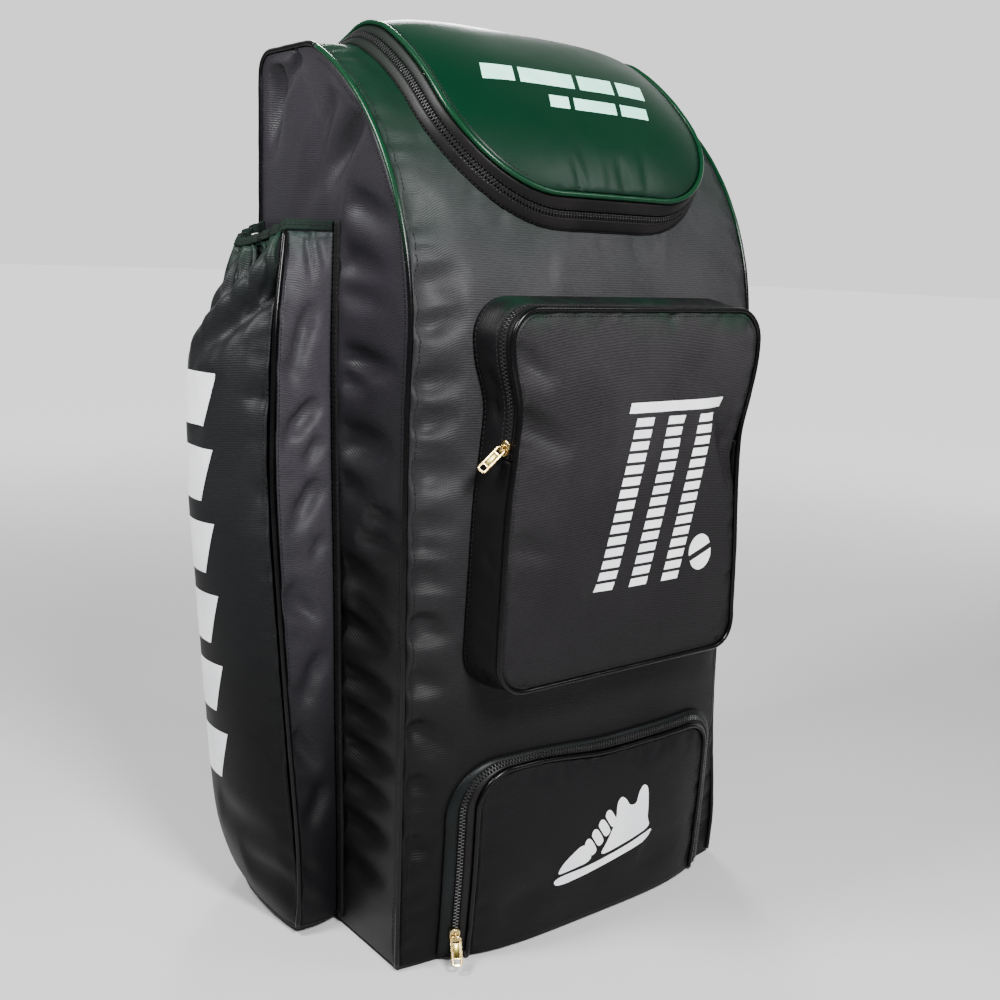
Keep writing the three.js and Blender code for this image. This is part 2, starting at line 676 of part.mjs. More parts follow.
function buildFrontPocket() {
  const zipHigh = 1 - frontPocketZipInset / frontPocketDepth;
  const zipLow = zipHigh - frontPocketZipWidth / frontPocketDepth;
  const shares = frontPocketShares;
  const rows = frontPocketRows;
  const over = [...upLeft(rows), ...acrossHead(rows, shares), ...downRight(rows)];
  const round = [...over, ...acrossFoot(rows, shares)];
  const zipped = rows.slice(zipEndRow + 1);
  const arch = [...upLeft(zipped), ...acrossHead(zipped, shares), ...downRight(zipped)];
  const gussetTop = (p) => (rows.indexOf(p.row) < zipEndRow ? belowPiping : edgeAt(zipLow, -seamGap));
  const wall = (way, low, high, thickness, ring) =>
    wallStrip(frontPocketPlace, way, low, high, thickness, ring);
  add("front_pocket_face", frontPocketPanel(), pocketNylon);
  add("front_pocket_gusset", wall(round, edgeAt(0), gussetTop, cloth, true), pocketNylon);
  add("front_pocket_zip", wall(arch, edgeAt(zipLow), edgeAt(zipHigh), zipThickness), zipTape);
  add("front_pocket_band", wall(arch, edgeAt(zipHigh, seamGap), belowPiping, bandThickness), bandVinyl);
  const rim = round.map((p) => frontPocketPlace(p.row, p.share, 1));
  add("front_pocket_piping", cordSolid(rim, pipingRadius, new THREE.Vector3(0, -1, 0), true), pipingVinyl);
  const sliderLevel = (zipLow + zipHigh) / 2;
  const sliderShare = zipEndShare + (sliderLength * 0.75) / frontPocketSides;
  const on = (dt, level) => frontPocketPlace({ part: "side", t: sliderShare + dt }, -1, level);
  const axes = sliderAxes(-1, on(0, sliderLevel), on(-0.02, sliderLevel), on(0, 0), frontSliderLean);
  addSlider("front_pocket", axes, frontTabSwing);
}

// Shoe pocket
const shoeRows = outlineRows(0, spread(4), 5);
const shoeShares = spread(8, -1, 1);
function shoePlace(row, share, level, inset = 0, lift = 0) {
  const size = {
    left: shoePocketLeft - shoePocketInset.across * level - inset,
    right: shoePocketRight - shoePocketInset.across * level - inset,
    foot: panelFoot,
    head: shoePocketHead - shoePocketInset.along * level - inset,
    footCorner: 0,
    headCorner: shoePocketCorner - shoePocketInset.corner * level - inset,
  };
  const p = outlinePoint(size, row, share);
  const sag = shoePocketSag * mix(0.7, 1, level) * smooth((share + 0.8) / 1) * (p.up / size.head) ** 4;
  const foot = standOff + bandThickness; // the wall is so shallow that its thickness lies towards the body
  return frontPoint(p.x, p.up - sag, mix(foot, shoePocketHeight, level) + lift);
}

function buildShoePocket() {
  const [zipLow, zipHigh] = shoeZipLevels;
  const strip = (low, high, thickness) => wallStrip(shoePlace, way, low, high, thickness);
  const way = [...upLeft(shoeRows), ...acrossHead(shoeRows, shoeShares), ...downRight(shoeRows)];
  const points = shoeRows.map((row, j) => {
    const up = j / (shoeRows.length - 1);
    return shoeShares.map((share) =>
      shoePlace(row, share, 1, pipingInset, shoePocketDome * (1 - share ** 4) * (1 - up ** 3)),
    );
  });
  add("shoe_pocket_panel", sheetSolid(points, cloth), pocketNylon);
  add("shoe_pocket_outer_band", strip(edgeAt(0), edgeAt(zipLow, -seamGap), bandThickness), bandVinyl);
  add("shoe_pocket_zip", strip(edgeAt(zipLow), edgeAt(zipHigh), zipThickness), zipTape);
  const innerBand = strip(edgeAt(zipHigh, seamGap), edgeAt(1, -pipingInset - 2 * seamGap), bandThickness);
  add("shoe_pocket_inner_band", innerBand, bandVinyl);
  const rim = way.map((p) => shoePlace(p.row, p.share, 1));
  add("shoe_pocket_piping", cordSolid(rim, pipingRadius, new THREE.Vector3(0, -1, 0)), pipingVinyl);
  const level = (zipLow + zipHigh) / 2;
  const share = (shoeSliderHeight - panelFoot) / (shoePocketHead - shoePocketCorner);
  const on = (dt, l) => shoePlace({ part: "side", t: share + dt }, -1, l);
  addSlider("shoe_pocket", sliderAxes(-1, on(0, level), on(-0.05, level), on(0, 0)), shoeTabSwing);
}

// Side pocket: its sections at shares of its height.
const sidePocketHeights = [0, 0.03, 0.07, ...spread(7, 0.13, 0.8), 0.85, 0.9, 0.95, 1];
const sidePocketHeight = sidePocketHead - sidePocketFoot;
const sideOf = (column, height) => columnAt(sidePocketRows, "height", column, height);
const seamY = (height) => sidePocketRear - sidePocketLength * sideOf("seam", height);
const sideFace = -halfWidth - standOff; // x at which the pocket meets the side panel

function pipingAt(height) {
  const y = sidePocketRear - sidePocketLength * sideOf("piping", height);
  const x = -halfWidth - sidePocketGusset * sideOf("gusset", height);
  return new THREE.Vector3(x, y, sidePocketFoot + sidePocketHeight * height);
}

// The outer panel's section is one curve from the rear seam (0) round to the piping (1).
function outerPoint(share, height, out = 0) {
  const piping = pipingAt(height);
  const gusset = -halfWidth - piping.x;
  const swell = sidePocketSwell * sideOf("swell", height);
  const reach = gusset + (gusset + 8 * swell) / 6; // puts the curve's middle at the gusset plus the swell
  const length = sidePocketRear - piping.y;
  const curve = new THREE.CubicBezierCurve3(
    new THREE.Vector3(sideFace, sidePocketRear, 0),
    new THREE.Vector3(-halfWidth - reach, sidePocketRear + length * 0.04, 0),
    new THREE.Vector3(-halfWidth - reach, piping.y + length * 0.25, 0),
    new THREE.Vector3(piping.x, piping.y, 0),
  );
  const p = curve.getPoint(share);
  const tangent = curve.getTangent(share);
  const outwards = new THREE.Vector3(tangent.y, -tangent.x, 0);
  const fromHead = (1 - height) * sidePocketHeight;
  const wave = Math.cos(2 * Math.PI * gatherCount * share) * Math.sqrt(Math.sin(Math.PI * share));
  const gather = gatherDepth * wave * Math.exp(-fromHead / gatherLength);
  p.addScaledVector(outwards, out - gather);
  p.z = piping.z - sidePocketDip * Math.sin(Math.PI * share) * height ** 8;
  return p;
}

const clothHead = 1 - (elasticWidth + 4 * seamGap) / sidePocketHeight;

function sidePocketPanel() {
  const inset = (1.2 * pipingInset) / sidePocketLength;
  const shares = spread(14, 0, 1 - inset);
  const points = sidePocketHeights.map((h) => shares.map((u) => outerPoint(u, h * clothHead)));
  return sheetSolid(points, cloth);
}

function gussetPoint(share, height) {
  const piping = pipingAt(height);
  const seam = new THREE.Vector3(sideFace, seamY(height), piping.z);
  const bow = 3 * Math.sin(Math.PI * share);
  return piping.lerp(seam, share).add(new THREE.Vector3(0, -bow, 0));
}

function sidePocketGussetPanel() {
  const inset = pipingInset / sidePocketGusset;
  const points = sidePocketHeights.map((h) =>
    spread(3, inset * 1.5, 1).map((u) => gussetPoint(u, h * clothHead)),
  );
  return sheetSolid(points, cloth);
}

function sidePocketBase() {
  const section = [
    ...spread(14, 0, 1).map((u) => outerPoint(u, 0)),
    ...spread(2, 0, 1).slice(1).map((u) => gussetPoint(u, 0)),
  ];
  const shape = new THREE.Shape(section.map((p) => new THREE.Vector2(p.x, p.y)));
  const floor = new THREE.ExtrudeGeometry(shape, { depth: cloth, bevelEnabled: false });
  return floor.translate(0, 0, sidePocketFoot - seamGap - cloth);
}

function sidePocketElastic() {
  const low = 1 - elasticWidth / sidePocketHeight;
  const points = [low, 1].map((h) => [
    ...spread(14, 0.01, 1).map((u) => outerPoint(u, h, seamGap)),
    ...spread(3, 0, 0.98).slice(1).map((u) => gussetPoint(u, h)),
  ]);
  return sheetSolid(points, elasticThickness);
}

function sidePocketBinding() {
  const x = -halfWidth - seamGap - bindingThickness;
  const points = sidePocketHeights.map((h) => {
    const y = seamY(h) - cloth - seamGap;
    const z = sidePocketFoot + sidePocketHeight * h;
    return [y, y - bindingWidth].map((at) => new THREE.Vector3(x, at, z));
  });
  return sheetSolid(points, bindingThickness);
}

function buildSidePocket() {
  add("side_pocket_panel", sidePocketPanel(), pocketNylon);
  add("side_pocket_gusset", sidePocketGussetPanel(), pocketNylon);
  add("side_pocket_base", sidePocketBase(), pocketNylon);
  const rim = sidePocketHeights.map((h) => pipingAt(h * clothHead));
  add("side_pocket_piping", cordSolid(rim, pipingRadius, new THREE.Vector3(1, 0, 0)), pipingVinyl);
  add("side_pocket_elastic", sidePocketElastic(), elasticTape);
  add("side_pocket_binding", sidePocketBinding(), zipTape);
}

// A zip slider and its pull tab, on a zip on the left (-1) or right (1) of a pocket. Their own axes are
// X across, Y along the zip towards the pull and Z out.
function sliderAxes(side, at, towardsPull, towardsBody, lean = 0) {
  const along = towardsPull.clone().sub(at).normalize();
  const back = towardsBody.clone().sub(at).normalize();
  const out = back.clone().cross(along).multiplyScalar(-side).normalize();
  along.applyAxisAngle(out, side * lean);
  const across = along.clone().cross(out);
  return new THREE.Matrix4().makeBasis(across, along, out).setPosition(at);
}

function boxFrom(low, high) {
  const size = high.map((v, i) => v - low[i]);
  return new THREE.BoxGeometry(...size).translate(...high.map((v, i) => (v + low[i]) / 2));
}

const eyeHeight = tabThickness + 2 * eyeClearance; // of the opening under the bridge
const eyeLength = 2 * (tabThickness / 2 + 2 * eyeClearance);
const sliderTop = seamGap + sliderThickness;

function sliderSolid() {
  const body = boxFrom(
    [-sliderWidth / 2, -sliderLength / 2, seamGap],
    [sliderWidth / 2, sliderLength / 2, sliderTop],
  );
  const reach = eyeLength / 2 + bridgeBar;
  const top = sliderTop + eyeHeight + bridgeBar;
  const half = bridgeWidth / 2;
  const arch = boxFrom([-half, -reach, sliderTop - bridgeBar], [half, reach, top]);
  const under = top - bridgeBar;
  const eye = boxFrom([-bridgeWidth, -eyeLength / 2, sliderTop], [bridgeWidth, eyeLength / 2, under]);
  return solidOf(body).add(solidOf(arch).subtract(solidOf(eye)));
}

function roundedRect(shape, width, low, high, radius) {
  const half = width / 2;
  shape.moveTo(-half + radius, low);
  shape.lineTo(half - radius, low);
  shape.absarc(half - radius, low + radius, radius, -Math.PI / 2, 0);
  shape.lineTo(half, high - radius);
  shape.absarc(half - radius, high - radius, radius, 0, Math.PI / 2);
  shape.lineTo(-half + radius, high);
  shape.absarc(-half + radius, high - radius, radius, Math.PI / 2, Math.PI);
  shape.lineTo(-half, low + radius);
  shape.absarc(-half + radius, low + radius, radius, Math.PI, 1.5 * Math.PI);
  return shape;
}

// The tab's eye turns on the bar at its end, which lies under the bridge with its middle on the axis.
function tabSolid() {
  const bar = tabThickness / 2;
  const reach = eyeLength / 2 + bridgeBar;
  const clear = Math.hypot(reach, eyeHeight / 2 + bridgeBar) + eyeClearance;
  const shape = roundedRect(new THREE.Shape(), tabWidth, -bar, tabLength - bar, tabWidth * 0.35);
  const window = roundedRect(new THREE.Path(), tabWidth - 2 * tabRim, bar, clear + bar, 0.8);
  const holeEnd = tabLength - bar - tabRim;
  const hole = roundedRect(new THREE.Path(), tabWidth - 2 * tabRim, holeEnd - tabHole, holeEnd, 2);
  shape.holes.push(window, hole);
  const options = { depth: tabThickness, bevelEnabled: false, curveSegments: 2 };
  return new THREE.ExtrudeGeometry(shape, options).translate(0, 0, -tabThickness / 2);
}

// A slider on the hidden side has its tab lying down along it, as one plain piece.
function addPlainSlider(name, axes) {
  const low = sliderTop - bridgeBar;
  const tab = boxFrom([-tabWidth / 2, 0, low], [tabWidth / 2, tabLength, low + tabThickness]);
  add(name, geometryOf(sliderSolid().add(solidOf(tab))).applyMatrix4(axes), goldMetal);
}

function addSlider(name, axes, swing) {
  add(`${name}_slider`, geometryOf(sliderSolid()).applyMatrix4(axes), goldMetal);
  const hinge = new THREE.Matrix4().makeTranslation(0, 0, sliderTop + eyeHeight / 2);
  hinge.multiply(new THREE.Matrix4().makeRotationX(swing));
  add(`${name}_pull`, tabSolid().applyMatrix4(axes.clone().multiply(hinge)), goldMetal);
}

// Straps: a padded one from the head down, and webbing from its end to the foot. Both stand off the back.
function strapSolid({ x, width, head, foot, thickness, standOut }) {
  const near = backY + seamGap + thickness;
  const rows = spread(10, foot, head).map((z) => {
    const fromEnd = Math.min(head - z, z - foot);
    const y = near + standOut * smooth(fromEnd / (2 * strapAnchor) - 0.5);
    return [x + width / 2, x - width / 2].map((at) => new THREE.Vector3(at, y, z));
  });
  return sheetSolid(rows, thickness);
}

function buildStraps() {
  const strapFoot = strapHead - strapLength;
  for (const [name, side] of [["left", -1], ["right", 1]]) {
    const x = (side * strapSpacing) / 2;
    const strap = { x, width: strapWidth, head: strapHead, foot: strapFoot };
    add(
      `shoulder_strap_${name}`,
      strapSolid({ ...strap, thickness: strapThickness, standOut: strapStandOff }),
      strapMesh,
    );
    const webbing = { x, width: webbingWidth, head: strapFoot - seamGap, foot: webbingFoot };
    add(
      `strap_webbing_${name}`,
      strapSolid({ ...webbing, thickness: webbingThickness, standOut: webbingStandOff }),
      strapMesh,
    );
  }
  const middle = bodyHeight - handleDrop;
  const handle = spread(14, handleSpan / 2, -handleSpan / 2).map((x) => {
    const off = handleRise * smooth(2.4 * (1 - Math.abs((2 * x) / handleSpan)) - 0.4);
    return { x, y: backY + seamGap + handleThickness + off };
  });
  const rows = [middle - handleWidth / 2, middle + handleWidth / 2];
  const points = rows.map((z) => handle.map((p) => new THREE.Vector3(p.x, p.y, z)));
  add("grab_handle", sheetSolid(points, handleThickness), strapMesh);
}

buildBody();
buildLid();
buildFrontPocket();
buildShoePocket();
buildSidePocket();
buildStraps();

export default bag;
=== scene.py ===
import math
import random

import bmesh
import bpy
import numpy as np
from mathutils import Matrix, Vector
from mathutils.bvhtree import BVHTree


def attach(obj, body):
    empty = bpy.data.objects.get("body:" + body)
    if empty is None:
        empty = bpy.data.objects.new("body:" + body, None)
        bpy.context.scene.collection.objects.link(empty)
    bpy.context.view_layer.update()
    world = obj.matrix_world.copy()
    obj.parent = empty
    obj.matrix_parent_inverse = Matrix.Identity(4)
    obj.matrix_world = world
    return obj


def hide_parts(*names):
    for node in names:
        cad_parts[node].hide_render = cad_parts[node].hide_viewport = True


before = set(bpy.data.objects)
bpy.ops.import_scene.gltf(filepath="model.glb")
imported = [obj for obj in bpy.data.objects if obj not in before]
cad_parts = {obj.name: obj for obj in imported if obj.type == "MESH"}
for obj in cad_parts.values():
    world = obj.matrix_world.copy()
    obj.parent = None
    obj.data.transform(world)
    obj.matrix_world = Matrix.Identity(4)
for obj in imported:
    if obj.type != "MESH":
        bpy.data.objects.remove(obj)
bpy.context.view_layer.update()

# Sizes and places are in millimetres until a mesh is made.
mm = 0.001
bodyName = "bag"

# the forms, as the frame has them
seamGap = 0.3
standOff = 0.7
pipingRadius = 2.4
pipingInset = pipingRadius + seamGap
bandThickness = 1.6
clothThickness = 2.2

body = {
    "width": 400,
    "depth": 260,
    "height": 800,
    "shoulderRadius": 262,
    "shoulderSweep": math.radians(66.2),
    "crestRadius": 50,
    "backCorner": 19,
    "base": 3,
    "belly": 28,
    "edgeSway": 11,
}
bellyRows = np.array([
    [0, 0.32], [0.04, 0.5], [0.11, 0.71], [0.27, 0.9], [0.45, 1],
    [0.6, 0.79], [0.7, 0.54], [0.8, 0.39], [0.91, 0.29], [1, 0.1],
])
# of the run; left, right
edgeRows = np.array([
    [0, 0, 0], [0.05, 0, 0.25], [0.16, 0, -0.7], [0.25, 0, -1],
    [0.38, 0.1, -0.6], [0.52, 0.2, -0.2], [0.62, 0, 0], [1, 0, 0],
])
# of the front pocket's height; left, right
pinchRows = np.array([
    [0, 0.05, 0.25], [0.08, 0, 0.5], [0.3, 0.1, 0.7], [0.5, 0.25, 1],
    [0.65, 0.6, 1], [0.76, 0.75, 0.4], [0.87, 0.2, -0.05], [1, 0, 0],
])
# of the side pocket's height; seam, piping, gusset, swell
sidePocketRows = np.array([
    [0, 1, 1.02, 0.74, 0.05], [0.05, 0.99, 1.03, 0.72, 0.47], [0.13, 0.985, 1.02, 0.74, 0.79],
    [0.28, 0.95, 0.97, 0.82, 0.88], [0.47, 0.92, 0.93, 0.93, 0.93], [0.65, 0.88, 0.89, 1, 1],
    [0.8, 0.855, 0.89, 0.98, 0.98], [0.87, 0.855, 0.87, 0.92, 0.7], [0.94, 0.865, 0.8, 0.75, 0.42],
    [1, 0.87, 0.73, 0.59, 0.19],
])

halfWidth = body["width"] / 2
frontY = -body["depth"] / 2
backY = body["depth"] / 2
sweep = body["shoulderSweep"]
crestRise = body["crestRadius"] * (1 - math.sin(sweep))
shoulderStart = body["height"] - crestRise - body["shoulderRadius"] * math.sin(sweep)
shoulderEnd = shoulderStart + body["shoulderRadius"] * sweep
crestEnd = shoulderEnd + body["crestRadius"] * (math.pi / 2 - sweep)
topFront = (
    frontY
    + body["shoulderRadius"] * (1 - math.cos(sweep))
    + body["crestRadius"] * math.cos(sweep)
)
topBack = backY - body["backCorner"]
runLength = crestEnd + topBack - topFront
panelFoot = body["base"] + seamGap


def mix(a, b, t):
    return a + (b - a) * t


def clamp(v, low, high):
    return min(high, max(low, v))


def smooth(t):
    t = clamp(t, 0, 1)
    return t * t * (3 - 2 * t)


def unit(v):
    return v / max(np.linalg.norm(v), 1e-9)


# a table's column at a place along it, on a smooth curve through the rows
def columnAt(rows, column, place):
    last = len(rows) - 1
    p = clamp(place, rows[0][0], rows[last][0])
    k = 0
    while k < last - 1 and rows[k + 1][0] < p:
        k += 1

    def slope(j):
        low, high = rows[max(j - 1, 0)], rows[min(j + 1, last)]
        return (high[column] - low[column]) / (high[0] - low[0])

    span = rows[k + 1][0] - rows[k][0]
    t = (p - rows[k][0]) / span
    rise = rows[k + 1][column] - rows[k][column]
    bend = t * (1 - t) * ((slope(k) * span - rise) * (1 - t) - (slope(k + 1) * span - rise) * t)
    return rows[k][column] + rise * t + bend


def profile(run):
    radius = body["shoulderRadius"]
    if run <= shoulderStart:
        return frontY, run, -1, 0
    if run <= shoulderEnd:
        a = (run - shoulderStart) / radius
        y = frontY + radius * (1 - math.cos(a))
        return y, shoulderStart + radius * math.sin(a), -math.cos(a), math.sin(a)
    if run >= crestEnd:
        return topFront + run - crestEnd, body["height"], 0, 1
    crest = body["crestRadius"]
    a = sweep + (run - shoulderEnd) / crest
    y = topFront - crest * math.cos(a)
    return y, body["height"] - crest * (1 - math.sin(a)), -math.cos(a), math.sin(a)


def edgePoint(side, run, inset=0):
    y, z, ny, nz = profile(run)
    sway = body["edgeSway"] * columnAt(edgeRows, 1 if side < 0 else 2, run / runLength)
    return np.array([side * (halfWidth + sway), y - ny * inset, z - nz * inset])


def frontPoint(x, run, lift=0.0):
    y, z, ny, nz = profile(run)
    share = clamp(x / halfWidth, -1, 1)
    belly = body["belly"] * columnAt(bellyRows, 1, run / runLength)
    out = belly * (1 - abs(share) ** 4) + lift
    return np.array([x, y + ny * out, z + nz * out])


# an outline's point: part is foot, side or head, t the place along it, share the way across
def outlinePoint(size, row, share):
    part, t = row
    angle = t * math.pi / 2
    up = mix(size["foot"] + size["footCorner"], size["head"] - size["headCorner"], t)
    inset = 0
    if part == "foot":
        up = size["foot"] + size["footCorner"] * (1 - math.cos(angle))
        inset = size["footCorner"] * (1 - math.sin(angle))
    elif part == "head":
        up = size["head"] - size["headCorner"] * (1 - math.sin(angle))
        inset = size["headCorner"] * (1 - math.cos(angle))
    reach = size["left"] if share < 0 else size["right"]
    return share * (reach - inset), up


def spread(count, low=0.0, high=1.0):
    return [mix(low, high, i / count) for i in range(count + 1)]


def outlineRows(footSteps, sideSteps, headSteps):
    foot = [("foot", t) for t in spread(footSteps)[:-1]] if footSteps else []
    side = [("side", t) for t in spread(sideSteps)]
    head = [("head", t) for t in spread(headSteps)[1:]] if headSteps else []
    return foot + side + head


def upLeft(rows):
    return [(row, -1) for row in rows]


def downRight(rows):
    return [(row, 1) for row in reversed(rows)]


def acrossHead(rows, shares):
    return [(rows[-1], share) for share in shares[1:-1]]


def acrossFoot(rows, shares):
    return [(rows[0], share) for share in reversed(shares[1:-1])]


lid = {
    "width": 320,
    "length": 285,
    "corner": 115,
    "height": 24,
    "across": 12,
    "along": 22,
    "cornerInset": 27,
    "rearMargin": 15,
    "dome": 9,
    "taper": 90,
    "overlap": 8,
    "zip": (0.39, 0.55),
    "sliderShare": 0.4,
}
lidRear = runLength - lid["rearMargin"]
rearLift = (clothThickness + seamGap) / lid["height"]


def lidPlace(row, share, level, inset=0.0, overlap=0.0, lift=0.0):
    across = lid["width"] / 2 - lid["across"] * level - inset
    size = {
        "left": across,
        "right": across,
        "foot": lidRear - lid["length"] + lid["along"] * level + inset,
        "head": lidRear + overlap,
        "footCorner": lid["corner"] - lid["cornerInset"] * level - inset,
        "headCorner": 0,
    }
    x, up = outlinePoint(size, row, share)
    taper = mix(rearLift, 1, smooth((lidRear - up) / lid["taper"]))
    return frontPoint(x, up, lid["height"] * level * taper + lift)


frontPocket = {
    "width": 292,
    "foot": 264,
    "height": 321,
    "corner": 28,
    "depth": 39,
    "flare": 6,
    "zipWidth": 7,
    "zipInset": 7,
    "zipEnd": 463,
    "dome": 7,
    "pinch": 15,
}
frontPocketFace = frontY - body["belly"] * 0.8 - frontPocket["depth"]
frontZipHigh = 1 - frontPocket["zipInset"] / frontPocket["depth"]
frontZipLow = frontZipHigh - frontPocket["zipWidth"] / frontPocket["depth"]
frontPocketSide = frontPocket["height"] - 2 * frontPocket["corner"]
frontZipEnd = (frontPocket["zipEnd"] - frontPocket["foot"] - frontPocket["corner"]) / frontPocketSide


def frontPocketPlace(row, share, level, inset=0.0):
    grow = frontPocket["flare"] * (1 - level) - inset
    size = {
        "left": frontPocket["width"] / 2 + grow,
        "right": frontPocket["width"] / 2 + grow,
        "foot": frontPocket["foot"] - grow,
        "head": frontPocket["foot"] + frontPocket["height"] + grow,
        "footCorner": frontPocket["corner"] + grow,
        "headCorner": frontPocket["corner"] + grow,
    }
    x, up = outlinePoint(size, row, share)
    height = (up - frontPocket["foot"]) / frontPocket["height"]
    pinch = frontPocket["pinch"] * columnAt(pinchRows, 1 if share < 0 else 2, height)
    x -= share * pinch
    onBody = frontPoint(x, up, standOff)
    return np.array([x, mix(onBody[1], frontPocketFace, level), mix(onBody[2], up, level)])


shoePocket = {
    "left": 162,
    "right": 178,
    "head": 190,
    "corner": 50,
    "height": 12,
    "across": 25,
    "along": 9,
    "cornerInset": 16,
    "dome": 9,
    "sag": 10,
    "zip": (0.4, 0.62),
    "slider": 27,
}


def shoePlace(row, share, level, inset=0.0, lift=0.0):
    size = {
        "left": shoePocket["left"] - shoePocket["across"] * level - inset,
        "right": shoePocket["right"] - shoePocket["across"] * level - inset,
        "foot": panelFoot,
        "head": shoePocket["head"] - shoePocket["along"] * level - inset,
        "footCorner": 0,
        "headCorner": shoePocket["corner"] - shoePocket["cornerInset"] * level - inset,
    }
    x, up = outlinePoint(size, row, share)
    sag = shoePocket["sag"] * mix(0.7, 1, level) * smooth(share + 0.8) * (up / size["head"]) ** 4
    return frontPoint(x, up - sag, mix(standOff + bandThickness, shoePocket["height"], level) + lift)


sidePocket = {
    "head": 650,
    "foot": 9,
    "length": 150,
    "rear": 122,
    "gusset": 61,
    "swell": 43,
    "dip": 17,
    "gather": 3,
    "gathers": 7,
    "gatherLength": 110,
    "elastic": 9,
}
sidePocketHeight = sidePocket["head"] - sidePocket["foot"]
sideFace = -halfWidth - standOff
clothHead = 1 - (sidePocket["elastic"] + 4 * seamGap) / sidePocketHeight


def pipingAt(height):
    y = sidePocket["rear"] - sidePocket["length"] * columnAt(sidePocketRows, 2, height)
    x = -halfWidth - sidePocket["gusset"] * columnAt(sidePocketRows, 3, height)
    return np.array([x, y, sidePocket["foot"] + sidePocketHeight * height])


def seamY(height):
    return sidePocket["rear"] - sidePocket["length"] * columnAt(sidePocketRows, 1, height)


def outerPoint(share, height, out=0.0, gathers=None):
    piping = pipingAt(height)
    gusset = -halfWidth - piping[0]
    swell = sidePocket["swell"] * columnAt(sidePocketRows, 4, height)
    reach = gusset + (gusset + 8 * swell) / 6
    length = sidePocket["rear"] - piping[1]
    handles = np.array([
        [sideFace, sidePocket["rear"]],
        [-halfWidth - reach, sidePocket["rear"] + length * 0.04],
        [-halfWidth - reach, piping[1] + length * 0.25],
        [piping[0], piping[1]],
    ])
    t, s = share, 1 - share
    weights = np.array([s**3, 3 * s * s * t, 3 * s * t * t, t**3])
    pace = np.array([-3 * s * s, 3 * s * s - 6 * s * t, 6 * s * t - 3 * t * t, 3 * t * t])
    p = weights @ handles
    tangent = unit(pace @ handles)
    outwards = np.array([tangent[1], -tangent[0]])
    fromHead = (1 - height) * sidePocketHeight
    if gathers is None:
        bumps = math.cos(2 * math.pi * sidePocket["gathers"] * share)
    else:
        bumps = gathers(share, fromHead)
    wave = bumps * math.sqrt(max(0, math.sin(math.pi * share)))
    gather = sidePocket["gather"] * wave * math.exp(-fromHead / sidePocket["gatherLength"])
    p = p + outwards * (out - gather)
    z = piping[2] - sidePocket["dip"] * math.sin(math.pi * share) * height**8
    return np.array([p[0], p[1], z])


def gussetPoint(share, height):
    piping = pipingAt(height)
    seam = np.array([sideFace, seamY(height), piping[2]])
    bow = 3 * math.sin(math.pi * share)
    return mix(piping, seam, share) + np.array([0, -bow, 0])


# meshes and pieces
def makeMesh(name, points, faces, uvs=None):
    mesh = bpy.data.meshes.new(name)
    mesh.from_pydata([tuple(p) for p in np.asarray(points) * mm], [], faces)
    mesh.validate()
    if uvs is not None:
        layer = mesh.uv_layers.new(name="cloth")
        loops = np.zeros(len(mesh.loops), np.int32)
        mesh.loops.foreach_get("vertex_index", loops)
        layer.data.foreach_set("uv", (np.asarray(uvs)[loops] * mm).ravel())
    mesh.shade_smooth()
    piece = bpy.data.objects.new(name, mesh)
    bpy.context.collection.objects.link(piece)
    return piece


# rows of points seen from outside run to the right and the rows upwards
def gridPiece(name, rows, ring=False):
    rows = np.asarray(rows, float)
    m, n = rows.shape[:2]
    spans = n if ring else n - 1
    faces = [
        (j * n + i, j * n + (i + 1) % n, (j + 1) * n + (i + 1) % n, (j + 1) * n + i)
        for j in range(m - 1)
        for i in range(spans)
    ]
    across = np.linalg.norm(np.diff(rows, axis=1), axis=2)
    along = np.linalg.norm(np.diff(rows, axis=0), axis=2)
    u = np.concatenate([np.zeros((m, 1)), across.cumsum(1)], 1)
    u -= u[:, n // 2][:, None]
    v = np.concatenate([np.zeros((1, n)), along.cumsum(0)], 0)
    uvs = np.stack([u, v], -1).reshape(-1, 2)
    return makeMesh(name, rows.reshape(-1, 3), faces, uvs)


def only(piece):
    bpy.ops.object.select_all(action="DESELECT")
    piece.select_set(True)
    bpy.context.view_layer.objects.active = piece


def applyModifiers(piece):
    only(piece)
    for m in list(piece.modifiers):
        bpy.ops.object.modifier_apply(modifier=m.name)


def thicken(piece, thickness):
    wall = piece.modifiers.new("wall", "SOLIDIFY")
    wall.thickness = thickness * mm
    wall.offset = -1
    applyModifiers(piece)


def place(piece, material, replaced=(), rides=bodyName, slot=None):
    piece.data.materials.clear()
    piece.data.materials.append(material)
    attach(piece, rides)
    if replaced:
        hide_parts(*([replaced] if isinstance(replaced, str) else replaced))
    return piece


def bevelAll(piece, width, segments=2):
    soft = piece.modifiers.new("edge", "BEVEL")
    soft.width = width * mm
    soft.segments = segments
    soft.limit_method = "ANGLE"
    soft.angle_limit = math.radians(30)
    applyModifiers(piece)


# a wall of the given thickness on rows of points
def wallPiece(name, rows, thickness, material, replaced, slot, ring=False):
    piece = gridPiece(name, rows, ring)
    thicken(piece, thickness)
    return place(piece, material, replaced, slot=slot)


# a flat outline raised to a board with soft edges
def slab(name, points, thickness, bevel, replaced, slot):
    piece = makeMesh(name, points, [tuple(range(len(points)))])
    only(piece)
    bpy.ops.object.mode_set(mode="EDIT")
    bpy.ops.mesh.select_all(action="SELECT")
    bpy.ops.mesh.extrude_region_move(TRANSFORM_OT_translate={"value": (0, 0, thickness * mm)})
    bpy.ops.mesh.select_all(action="SELECT")
    bpy.ops.mesh.normals_make_consistent(inside=False)
    bpy.ops.object.mode_set(mode="OBJECT")
    bevelAll(piece, bevel)
    place(piece, bandVinyl, replaced, slot=slot)


# how the simulated cloth behaves
clothStuff = {
    "frames": 16,
    "quality": 6,
    "mass": 0.15,
    "stiffness": 12,
    "bending": 0.6,
    "damping": 2,
}


